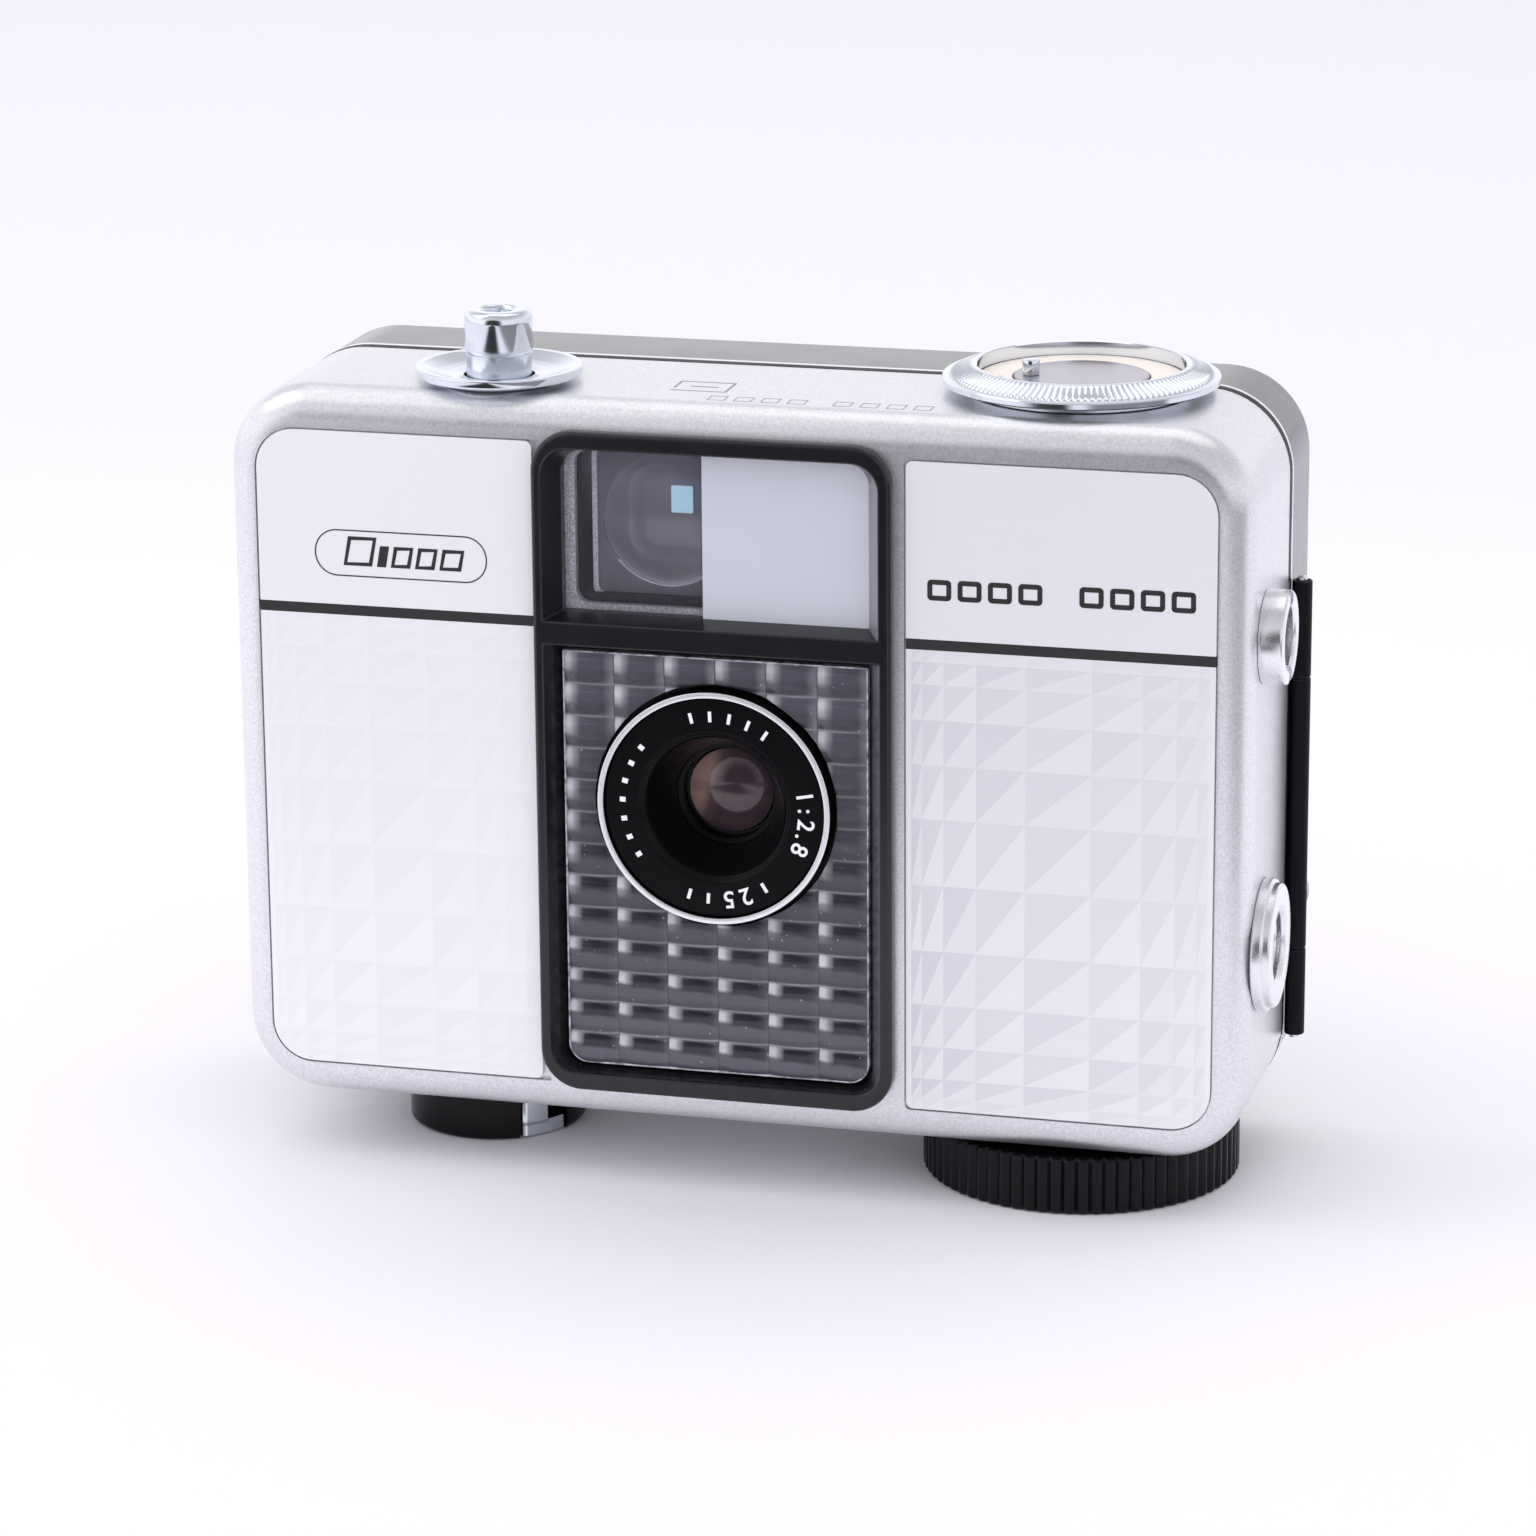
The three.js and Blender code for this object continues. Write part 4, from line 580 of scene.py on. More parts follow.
def rounded_rect(left, right, bottom, top, radius, steps=10):
    """Outline points. radius is one number, or the four corners: low left, low right, top right, top left."""
    corners = radius if isinstance(radius, tuple) else (radius,) * 4
    low_left, low_right, top_right, top_left = (max(r, 0.01) for r in corners)
    arcs = [(left + low_left, bottom + low_left, low_left, 2),
            (right - low_right, bottom + low_right, low_right, 3),
            (right - top_right, top - top_right, top_right, 0),
            (left + top_left, top - top_left, top_left, 1)]
    points = []
    for cx, cy, r, quarter in arcs:
        for i in range(steps + 1):
            angle = (quarter + i / steps) * TAU / 4
            points.append((cx + r * math.cos(angle), cy + r * math.sin(angle)))
    return points


def loft(rings, caps=True):
    """Closed rings of equal length joined into a skin, with flat ends when caps is true."""
    count = len(rings[0])
    faces = []
    for k in range(len(rings) - 1):
        for i in range(count):
            a = k * count + i
            b = k * count + (i + 1) % count
            faces.append((a, b, b + count, a + count))
    if caps:
        last = (len(rings) - 1) * count
        faces += [tuple(reversed(range(count))), tuple(range(last, last + count))]
    return Form().add([point for ring in rings for point in ring], faces)


def front_slab(outline, y0, y1):
    """An XZ outline carried from y0 to y1."""
    return loft([[(x, y, z) for x, z in outline] for y in (y0, y1)])


def inset(points, size):
    """Moves each point of a convex outline inward along its own normal."""
    if not size:
        return list(points)
    moved = []
    count = len(points)
    for i, (x, y) in enumerate(points):
        ax, ay = points[i - 1]
        bx, by = points[(i + 1) % count]
        dx, dy = bx - ax, by - ay
        length = math.hypot(dx, dy) or 1.0
        moved.append((x - dy / length * size, y + dx / length * size))
    return moved


def frame_ring(outer, inner, y0, y1):
    """A flat ring between two outlines of equal length."""
    rings = [[(x, y0, z) for x, z in outer], [(x, y0, z) for x, z in inner],
             [(x, y1, z) for x, z in inner], [(x, y1, z) for x, z in outer]]
    return loft(rings + [rings[0]], caps=False)


def block(x0, x1, y0, y1, z0, z1):
    return front_slab([(x0, z0), (x1, z0), (x1, z1), (x0, z1)], y0, y1)


def soften(profile, size):
    """Rounds each corner of a profile by up to size, keeping its ends."""
    closed = profile[0][:2] == profile[-1][:2]
    points = profile[:-1] if closed else profile
    out = []
    count = len(points)
    for i, point in enumerate(points):
        if not closed and i in (0, count - 1):
            out.append(point)
            continue
        before, after = points[i - 1], points[(i + 1) % count]
        lengths = [math.dist(point[:2], other[:2]) for other in (before, after)]
        reach = min(size, 0.45 * min(lengths))
        ends = [[point[k] + (other[k] - point[k]) * reach / max(length, 1e-9) for k in (0, 1)]
                for other, length in zip((before, after), lengths)]
        for t in (0.0, 0.5, 1.0):
            out.append(tuple((1 - t) ** 2 * ends[0][k] + 2 * t * (1 - t) * point[k] + t * t * ends[1][k]
                             for k in (0, 1)) + tuple(point[2:]))
    return out + [out[0]] if closed else out


def spin(profile, axis, centre, steps, wave=None, tags=None):
    """Turns a profile of (radius, station[, wave depth]) about an axis through centre."""
    count = len(profile)
    verts = []
    for i in range(steps):
        angle = TAU * i / steps
        lift = wave(angle) if wave else 0.0
        for point in profile:
            depth = point[2] if len(point) > 2 else (0.0, 0.0)
            radius = point[0] + depth[0] * lift
            station = point[1] + depth[1] * lift
            u, v = radius * math.cos(angle), radius * math.sin(angle)
            if axis == "Z":
                verts.append((centre[0] + u, centre[1] + v, station))
            elif axis == "Y":
                verts.append((centre[0] + u, station, centre[1] + v))
            else:
                verts.append((station, centre[0] + u, centre[1] + v))
    faces = []
    face_tags = []
    for i in range(steps):
        for k in range(count - 1):
            a = i * count + k
            b = (i + 1) % steps * count + k
            faces.append((a, b, b + 1, a + 1))
            face_tags.append(tags(profile[k], profile[k + 1]) if tags else 0)
    return Form().add(verts, faces, face_tags)


def bar(axis, radius, start, end, centre, steps=64):
    return spin([(0, start), (radius, start), (radius, end), (0, end)], axis, centre, steps)


def ridges(count, sharpness):
    """A wave for spin: 0 on a ridge and -1 in the valley between two."""
    return lambda angle: -abs(2 * ((angle * count / TAU) % 1.0) - 1.0) ** sharpness


def mesh_from(name, form):
    mesh = bpy.data.meshes.new(name)
    mesh.from_pydata([place(*v) for v in form.verts], [], form.faces)
    mesh.polygons.foreach_set("material_index", form.tags)
    tidy = bmesh.new()
    tidy.from_mesh(mesh)
    bmesh.ops.remove_doubles(tidy, verts=tidy.verts, dist=2e-6)
    bmesh.ops.recalc_face_normals(tidy, faces=tidy.faces)
    tidy.to_mesh(mesh)
    tidy.free()
    return mesh


def bake(obj):
    """Replaces an object's mesh by its modifiers' result."""
    graph = bpy.context.evaluated_depsgraph_get()
    made = bpy.data.meshes.new_from_object(obj.evaluated_get(graph))
    obj.modifiers.clear()
    obj.data = made


def carve(obj, cutters, operation="DIFFERENCE"):
    """Cuts forms out of an object, or keeps only what they share."""
    tools = []
    for form in cutters:
        tool = bpy.data.objects.new("tool", mesh_from("tool", form))
        bpy.context.scene.collection.objects.link(tool)
        step = obj.modifiers.new("carve", "BOOLEAN")
        step.operation = operation
        step.solver = "EXACT"
        step.object = tool
        tools.append(tool)
    bake(obj)
    for tool in tools:
        bpy.data.objects.remove(tool)


def make(name, form, finishes, body, replaces=(), cutters=(), keep=(), edge=0.0, sharp=32.0,
         smooth=True):
    """A finished piece: its mesh, its finishes, its softened edges and the body it rides on."""
    mesh = form if isinstance(form, bpy.types.Mesh) else mesh_from(name, form)
    obj = bpy.data.objects.new(name, mesh)
    bpy.context.scene.collection.objects.link(obj)
    if keep:
        carve(obj, keep, "INTERSECT")
    if cutters:
        carve(obj, cutters)
    finishes = finishes if isinstance(finishes, list) else [finishes]
    for finish in finishes:
        obj.data.materials.append(finish)
    while len(obj.data.materials) > len(finishes):  # a cut leaves an empty slot in front
        obj.data.materials.pop(index=0)
    if smooth:
        obj.data.shade_smooth()
        obj.data.set_sharp_from_angle(angle=math.radians(sharp))
    if edge:
        round_edges(obj, edge)
    weigh = obj.modifiers.new("normals", "WEIGHTED_NORMAL")
    weigh.keep_sharp = True
    weigh.weight = 80
    obj.data.name = name
    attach(obj, body)
    if replaces:
        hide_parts(*replaces)
    return obj


def round_edges(obj, width):
    step = obj.modifiers.new("edges", "BEVEL")
    step.width = width * MM
    step.segments = 2
    step.limit_method = "ANGLE"
    step.angle_limit = math.radians(38)
    step.harden_normals = False


# ---------------------------------------------------------------- body shell
SHELL_HIGH = cad("front_shell")[1]
HALF = SHELL_HIGH.x
HEIGHT = SHELL_HIGH.z
SEAM = SHELL_HIGH.y
SEAM_GAP = 0.25
DEPTH = cad("back_door")[1].y
BODY_CORNER = 7.0
FRONT_FILLET = 2.85
BACK_FILLET = 1.5
WALL = 1.2


def body_ring(draw_in, y):
    """The body's outline at one depth, drawn in by so much."""
    outline = rounded_rect(-HALF + draw_in, HALF - draw_in, draw_in, HEIGHT - draw_in,
                           BODY_CORNER - draw_in, 16)
    return [(x, y, z) for x, z in outline]


def quarter_arc(size, steps):
    """Pairs of (how far drawn in, how far along) round a quarter circle."""
    return [(size * (1 - math.sin(i / steps * TAU / 4)), size * (1 - math.cos(i / steps * TAU / 4)))
            for i in range(steps + 1)]


def front_shell():
    rings = [body_ring(draw_in, y) for draw_in, y in quarter_arc(FRONT_FILLET, 12)]
    rings += [body_ring(0, y) for y in (8.0, SEAM - SEAM_GAP)]
    rings += [body_ring(0.08, SEAM - 0.07), body_ring(0.25, SEAM), body_ring(WALL - 0.15, SEAM)]
    rings += [body_ring(WALL, SEAM - 0.15), body_ring(WALL, WALL)]
    frame_low, frame_high = cad("window_frame")
    left, right = cad("left_face_plate"), cad("right_face_plate")
    gap = 0.15
    hole = rounded_rect(frame_low.x + 0.4, frame_high.x - 0.4, frame_low.z + 0.4, frame_high.z - 0.4, 3.1)
    low, high = left[0].z - gap, left[1].z + gap
    seats = [rounded_rect(left[0].x - gap, frame_low.x + 0.6, low, high, (3.6, 0.05, 0.05, 3.6)),
             rounded_rect(right[0].x - gap, right[1].x + gap, low, high, (0.5, 3.6, 3.6, 0.5))]
    cutters = [front_slab(seat, -1, 0.5) for seat in seats] + [front_slab(hole, -1, WALL + 1)]
    for node, axis, radius, start, end in (
            ("button_collar", "Z", 3.6, 60, 63), ("exposure_dial", "Z", 3.1, 60, 63),
            ("pc_socket_shell", "X", 3.15, 42, 44), ("tripod_bush", "X", 4.7, 42, 44),
            ("winding_knob", "Z", 2.0, -1, 2), ("rewind_knob", "Z", 1.9, -1, 2),
            ("counter_window", "Z", 2.05, -1, 2), ("rewind_release_button", "Z", 1.45, -1, 2)):
        cutters.append(bar(axis, radius, start, end, turned_node(node, axis)[0]))
    latch = cad("latch_slider")
    cutters += [block(-44, -42, 12.1, 14.9, latch[0].z + 1.2, latch[0].z + 8.3)]
    for name in ("chassis_screw_1", "chassis_screw_2"):
        sink = [(0, -0.1), (1.8, -0.1), (1.8, 0), (0.9, 0.95), (0.9, 1.6), (0, 1.6)]
        cutters.append(spin(sink, "Z", turned_node(name)[0], 40))
    return make("body_shell", loft(rings), SHELL, "camera_body", ["front_shell"], cutters,
                sharp=28)


# ---------------------------------------------------------------- engraved face plates
STRIPE_LOW, STRIPE_HIGH = 42.8, 43.7
COLUMNS = (0.9, 1.8, 2.75, 4.1, 5.5, 4.2, 2.8, 1.8, 0.9)
ROWS = (1.0, 1.9, 3.0, 3.8, 4.6, 5.66, 5.63, 4.65, 3.66, 2.8, 1.7, 1.0)


def running(start, steps, scale):
    marks = [start]
    for step in steps:
        marks.append(marks[-1] + step * scale)
    return marks


def slice_faces(mesh, faces, point, normal):
    edges = {e for f in faces for e in f.edges}
    verts = {v for f in faces for v in f.verts}
    bmesh.ops.bisect_plane(mesh, geom=list(faces) + list(edges) + list(verts), plane_co=point,
                           plane_no=normal, dist=1e-7)


def face_plate(name, node, finish, corners, facet_shade_strength, seed):
    low, high = cad(node)
    outline = rounded_rect(low.x, high.x, low.z, high.z, corners)
    columns = running(low.x + 0.45, COLUMNS, (high.x - low.x - 0.9) / sum(COLUMNS))
    rows = running(STRIPE_LOW, [-r for r in ROWS], (STRIPE_LOW - low.z) / sum(ROWS))
    mesh = bmesh.new()
    mesh.faces.new([mesh.verts.new(place(x, 0, z)) for x, z in outline])
    for z in [STRIPE_HIGH] + rows[:-1]:
        slice_faces(mesh, list(mesh.faces), place(0, 0, z), (0, 0, 1))
    engraved = lambda: [f for f in mesh.faces if f.calc_center_median().z < place(0, 0, STRIPE_LOW).z]
    for x in columns:
        slice_faces(mesh, engraved(), place(x, 0, 0), (1, 0, 0))
    cells = [(i, k) for i in range(len(COLUMNS)) for k in range(len(ROWS))]
    for i, k in cells:
        x0, x1 = columns[i], columns[i + 1]
        z0, z1 = rows[k + 1], rows[k]
        inside = [f for f in mesh.faces if in_cell(f, x0, x1, z0, z1)]
        across = Vector((z1 - z0, 0, x0 - x1)).normalized()
        slice_faces(mesh, inside, place(x0, 0, z0), across)
    facet_shade_and_tone_layer = mesh.faces.layers.float.new("facet_shade_and_tone")
    chance = random.Random(seed)
    cell_tone = {cell: chance.uniform(0.0, 0.25) for cell in cells}
    for face in mesh.faces:
        middle = (face.calc_center_median() - ORIGIN) / MM
        face.material_index = 1 if STRIPE_LOW < middle.z < STRIPE_HIGH else 0
        for i, k in cells:
            if in_cell(face, columns[i], columns[i + 1], rows[k + 1], rows[k]):
                # Painted facet shade: the upper-left half of each cell takes the full strength for its cell
                # and the lower half less, with random variation per cell added.
                slope = (rows[k] - rows[k + 1]) / (columns[i + 1] - columns[i])
                upper = middle.z - rows[k + 1] > slope * (middle.x - columns[i])
                face[facet_shade_and_tone_layer] = facet_shade_strength(i, k) * (1.0 if upper else 0.18) + cell_tone[(i, k)]
    rim = [e for e in mesh.edges if e.is_boundary]
    moved = bmesh.ops.extrude_edge_only(mesh, edges=rim)["geom"]
    for vert in [g for g in moved if isinstance(g, bmesh.types.BMVert)]:
        vert.co.y = place(0, high.y, 0).y
    bmesh.ops.edgeloop_fill(mesh, edges=[g for g in moved if isinstance(g, bmesh.types.BMEdge)])
    bmesh.ops.recalc_face_normals(mesh, faces=mesh.faces)
    data = bpy.data.meshes.new(name)
    mesh.to_mesh(data)
    mesh.free()
    return make(name, data, [finish, INK], "camera_body", [node], edge=0.07)


def in_cell(face, x0, x1, z0, z1):
    middle = (face.calc_center_median() - ORIGIN) / MM
    return x0 < middle.x < x1 and z0 < middle.z < z1


def face_plates():
    # Painted facet shade strength per cell: on the right plate strongest in the left columns and weaker in
    # the top and bottom rows; on the left plate fainter and highest in the fourth column.
    facet_shade_right = lambda i, k: (1.0 - 0.075 * i) * (0.45 if k in (0, 11) else 1.0)
    facet_shade_left = lambda i, k: 0.55 - 0.04 * abs(i - 3)
    face_plate("left_plate", "left_face_plate", PLATE_LEFT, (3.4, 0.6, 0.6, 3.4), facet_shade_left, 3)
    face_plate("right_plate", "right_face_plate", PLATE_RIGHT, (0.6, 3.4, 3.4, 0.6), facet_shade_right, 5)


def plate_marks():
    """Plain marks in place of lettering: a pill with slanted bars, and a row of frames."""
    front, back, stroke = -0.02, 0.1, 0.42
    pill = rounded_rect(-35.7, -20.65, 46.15, 50.15, 1.95, 12)
    make("badge_outline", frame_ring(pill, inset(pill, 0.11), front, back), INK, "camera_body")
    bars = []
    at, bottom = -33.2, 47.1
    for width, height in ((2.5, 2.5), (0.8, 1.8), (1.7, 1.8), (1.7, 1.8), (1.9, 1.8)):
        lean, top = 0.18 * height, bottom + height
        shape = [(at, bottom), (at + width, bottom), (at + width + lean, top), (at + lean, top)]
        hollow = width > 1
        bars.append(frame_ring(shape, inset(shape, stroke), front, back) if hollow
                    else front_slab(shape, front, back))
        at += width + 0.42
    make("badge_bars", joined(bars), INK, "camera_body")
    row = []
    for i in range(9):
        if i == 4:
            continue
        x = 16.8 + i * 2.52
        outer = rounded_rect(x, x + 2.0, 47.0 + i * 0.02, 48.75 + i * 0.02, 0.35, 4)
        row.append(frame_ring(outer, inset(outer, stroke), front, back))
    make("plate_frames", joined(row), INK, "camera_body")


# ---------------------------------------------------------------- window frame, finder and meter window
FRAME_LOW, FRAME_HIGH = cad("window_frame")
FLOOR_Y = 0.9
FINDER = (-14.45, 11.7, 44.05, 57.75)
METER = (-14.45, 11.8, 4.75, 41.1)
SPREAD_X, SPREAD_Z = 1.2, 0.5
ROUNDED_TOP = (0.15, 0.15, 1.7, 1.7)
ROUNDED_BOTTOM = (1.7, 1.7, 0.15, 0.15)


def tapered(opening, corners):
    left, right, bottom, top = opening
    rings = []
    for y, grow in ((FLOOR_Y, 0.0), (FRAME_LOW.y, 1.0), (FRAME_LOW.y - 1.0, 1.5)):
        wide, tall = grow * SPREAD_X, grow * SPREAD_Z
        spread_corners = tuple(c + 0.6 * grow if c > 0.5 else c for c in corners)
        outline = rounded_rect(left - wide, right + wide, bottom - tall, top + tall, spread_corners, 8)
        rings.append([(x, y, z) for x, z in outline])
    return loft(rings)


def window_frame():
    flange = rounded_rect(FRAME_LOW.x, FRAME_HIGH.x, FRAME_LOW.z, FRAME_HIGH.z, 3.5, 14)
    neck = inset(flange, 0.5)
    rings = [[(x, y, z) for x, z in inset(flange, draw_in)]
             for draw_in, y in [(a, FRAME_LOW.y + b) for a, b in quarter_arc(0.4, 5)]]
    rings += [[(x, 0.0, z) for x, z in flange], [(x, 0.0, z) for x, z in neck],
              [(x, FRAME_HIGH.y, z) for x, z in neck]]
    throats = [(FINDER, ROUNDED_TOP), (METER, ROUNDED_BOTTOM)]
    cutters = [tapered(opening, corners) for opening, corners in throats]
    cutters += [narrow(opening, corners) for opening, corners in throats]
    make("window_bezel", loft(rings), FRAME_BLACK, "camera_body", ["window_frame"], cutters,
         edge=0.1, sharp=30)


def narrow(opening, corners):
    """The opening's own outline carried through, so that rounded corners stay rounded behind the floor."""
    left, right, bottom, top = opening
    return front_slab(rounded_rect(left, right, bottom, top, corners, 8), FLOOR_Y - 0.05, FRAME_HIGH.y + 1)


def finder():
    mask = front_slab(rounded_rect(-14.9, -2.2, 43.75, 58.1, 0.4, 4), 1.95, 2.7)
    window = rounded_rect(-13.55, 0.0, 44.6, 57.5, (1.1, 1.1, 1.1, 1.1), 8)
    make("finder_mask", mask, CAST, "camera_body", cutters=[front_slab(window, 1.0, 4.0)], edge=0.08)
    low, high = cad("finder_tunnel")
    thick, narrow_side = 0.8, 0.25
    tube = block(low.x, high.x, low.y, 16.8, low.z, high.z)
    neck_low, neck_high = cad("eyepiece_lens")
    neck = block(neck_low.x - thick, neck_high.x + thick, 15.8, high.y, neck_low.z - thick,
                 neck_high.z + thick)
    hollow = block(low.x + thick, high.x - narrow_side, 0.0, 16.0, low.z + thick, high.z - thick)
    throat = block(neck_low.x, neck_high.x, 14.8, high.y + 1, neck_low.z, neck_high.z)
    make("finder_tunnel", tube, SATIN_BLACK, "camera_body", ["finder_tunnel"],
         cutters=[hollow, throat], edge=0.1)
    make("finder_neck", neck, SATIN_BLACK, "camera_body", cutters=[throat, hollow], edge=0.1)
    left, right = -12.66, high.x - narrow_side - 0.05
    bottom, top = 44.6, 57.25
    outer = rounded_rect(left, right, bottom, top, (0.9, 0.2, 0.2, 0.5), 8)
    rim = front_slab(outer, 3.9, 6.4)
    opening = rounded_rect(left + 0.45, right + 2, bottom + 0.45, top - 0.2, (0.7, 0.2, 0.2, 0.3), 8)
    make("finder_lens_rim", rim, BLOCK_GREY, "camera_body",
         cutters=[front_slab(opening, 3.0, 7.0)], edge=0.08)
    face = front_slab(rounded_rect(left + 0.47, right, bottom + 0.47, top - 0.22, (0.7, 0.2, 0.2, 0.3), 8),
                      4.15, 6.4)
    hollow_curve = [(0.0, 5.3)] + [(5.6 * i / 12, 5.3 - 1.0 * (i / 12) ** 2) for i in range(1, 13)]
    bowl = spin(hollow_curve + [(5.6, 3.0), (0.0, 3.0)], "Y", FINDER_EYE, 96)
    make("finder_lens", face, FINDER_GLASS, "camera_body", ["finder_front_lens"], cutters=[bowl],
         sharp=60)
    # The lens edge, kept only along its lower arc, where it is a painted highlight in pale grey.
    lower_arc_highlight = spin(soften([(5.55, 4.12), (5.72, 4.12), (5.72, 4.4), (5.55, 4.4), (5.55, 4.12)], 0.06), "Y",
                     FINDER_EYE, 96)
    make("finder_lens_edge_highlight", lower_arc_highlight, BLOCK_GREY, "camera_body",
         keep=[block(left + 0.5, right - 0.05, 3.0, 8.0, bottom + 0.5, FINDER_EYE[1] - 3.6)])
    # Painted light: a small glowing pane just behind the finder lens.
    make("finder_painted_light", front_slab(rounded_rect(-5.93, -4.08, 52.1, 54.4, 0.12, 4), 4.2, 4.35),
         FINDER_LIGHT_PANE, "camera_body", edge=0.03)


def meter_window():
    """Six columns by thirteen rows of clear cushions, with a round clearance for the lens."""
    left, right, bottom, top = CUSHION_FIELD
    columns, rows = CUSHION_COLUMNS, CUSHION_ROWS
    fine_x, fine_z = 14, 10
    valley, crest = 0.42, -0.1
    count_x, count_z = columns * fine_x, rows * fine_z
    verts = []
    for k in range(count_z + 1):
        for i in range(count_x + 1):
            u = (i % fine_x) / fine_x * 2 - 1
            v = (k % fine_z) / fine_z * 2 - 1
            rise = 0.62 * (1 - abs(u) ** 2.4) + 0.38 * (1 - abs(v) ** 3.5)
            verts.append((left + 0.02 + (right - left - 0.04) * i / count_x, valley + (crest - valley) * rise,
                          bottom + 0.02 + (top - bottom - 0.04) * k / count_z))
    width = count_x + 1
    faces = [(k * width + i, k * width + i + 1, (k + 1) * width + i + 1, (k + 1) * width + i)
             for k in range(count_z) for i in range(count_x)]
    rim = list(range(width)) + [k * width + count_x for k in range(1, count_z + 1)]
    rim += [count_z * width + i for i in reversed(range(count_x))]
    rim += [k * width for k in reversed(range(1, count_z))]
    start = len(verts)
    verts += [(verts[i][0], 1.4, verts[i][2]) for i in rim]
    total = len(rim)
    faces += [(rim[n], rim[(n + 1) % total], start + (n + 1) % total, start + n) for n in range(total)]
    faces.append(tuple(range(start, start + total)))
    field = Form().add(verts, faces)
    corners = front_slab(rounded_rect(left, right, bottom, top, ROUNDED_BOTTOM, 8), -1, 3)
    make("meter_cushions", field, CUSHIONS, "camera_body", ["meter_lens_grid"],
         [bar("Y", 10.4, -3, 4, turned_node("lens_trim_ring", "Y")[0], 96)], keep=[corners], sharp=50)
    # A pale rim round the pane: a painted highlight along its edge.
    outline = rounded_rect(left, right, bottom, top, ROUNDED_BOTTOM, 10)
    rim = frame_ring(outline, inset(outline, 0.13), 0.05, 0.75)
    make("meter_pane_edge", rim, PANE_EDGE_HIGHLIGHT, "camera_body", edge=0.03)


# ---------------------------------------------------------------- lens
LENS, RING_RADIUS, RING_LOW = turned_node("lens_trim_ring", "Y")[:3]


def lens():
    front, outer = RING_LOW.y, RING_RADIUS
    band = [(9.47, front + 0.1), (9.5, front), (outer - 0.04, front), (outer, front + 0.06), (outer, 5.2),
            (9.47, 5.2),
            (9.47, front + 0.1)]
    side = lambda a, b: 1 if min(a[1], b[1]) > front + 0.05 else 0
    make("lens_ring", spin(soften(band, 0.05), "Y", LENS, 160, tags=side), [RING_SILVER, RING_BLACK],
         "camera_body", ["lens_trim_ring"])
    face = [(9.45, front + 0.42), (9.3, front + 0.3), (6.5, front + 0.3), (6.32, front + 0.5),
            (6.1, front + 0.62),
            (5.9, front + 0.9), (4.35, 3.3), (4.3, 3.7), (3.95, 3.75), (3.9, 5.2), (9.45, 5.2),
            (9.45, front + 0.42)]
    make("lens_face", spin(soften(face, 0.12), "Y", LENS, 160), RING_BLACK, "camera_body",
         ["lens_face_ring"])
    radius = turned_node("front_lens_element", "Y")[1]
    dome = [(radius * i / 12, 3.95 + 1.0 * (i / 12) ** 2) for i in range(13)]
    make("front_element", spin(dome + [(radius, 6.3), (0, 6.5)], "Y", LENS, 96), COATED, "camera_body",
         ["front_lens_element"], sharp=60)
    collar = [(9.6, 5.21), (9.6, 1.2), (10.35, 1.2), (10.35, 5.21), (9.6, 5.21)]
    make("lens_surround", spin(soften(collar, 0.1), "Y", LENS, 120), MATT_BLACK, "camera_body")


def text_form(character, size, matrix):
    """One numeral or sign as a thin raised mesh, set by a matrix in the shell's millimetres."""
    curve = bpy.data.curves.new("glyph", "FONT")
    curve.body = character
    curve.size = size
    curve.align_x = "CENTER"
    curve.align_y = "CENTER"
    curve.extrude = 0.02
    curve.offset = 0.012 * size
    curve.resolution_u = 4
    obj = bpy.data.objects.new("glyph", curve)
    bpy.context.scene.collection.objects.link(obj)
    graph = bpy.context.evaluated_depsgraph_get()
    mesh = bpy.data.meshes.new_from_object(obj.evaluated_get(graph))
    form = Form().add([matrix @ v.co for v in mesh.vertices], [tuple(p.vertices) for p in mesh.polygons])
    bpy.data.objects.remove(obj)
    bpy.data.meshes.remove(mesh)
    return form


def glyph_matrix(along, out, up, spot):
    """Sets a glyph at a spot: its line running along, its head outward, its face up."""
    return Matrix.Translation(spot) @ Matrix((along, out, up)).transposed().to_4x4()


def lens_directions(degrees):
    """Outward and along, on the lens face, some degrees clockwise from the top."""
    a = math.radians(degrees)
    return Vector((math.sin(a), 0, math.cos(a))), Vector((math.cos(a), 0, -math.sin(a)))


def lens_marks():
    y = RING_LOW.y + 0.29
    centre = Vector((LENS[0], y, LENS[1]))
    signs = []
    for sign, degrees in (("1", 79), (":", 88), ("2", 97), (".", 105), ("8", 113), ("2", 160), ("5", 171)):
        out, along = lens_directions(degrees)
        signs.append(text_form(sign, 2.05, glyph_matrix(along, out, (0, -1, 0), centre + out * 7.85)))
    ticks = [(degrees, 7.4, 8.3, 0.28) for degrees in (-14, -2, 10, 22, 34, 147, 184, 196)]
    ticks += [(degrees, 7.6, 8.1, 0.42) for degrees in range(236, 309, 12)]
    for degrees, inner, outer, width in ticks:
        out, along = lens_directions(degrees)
        corners = [centre + out * radius + along * side * width / 2
                   for radius, side in ((inner, -1), (outer, -1), (outer, 1), (inner, 1))]
        signs.append(front_slab([(c.x, c.z) for c in corners], y - 0.02, y + 0.02))
    make("lens_numerals", joined(signs), WHITE_INK, "camera_body", smooth=False)


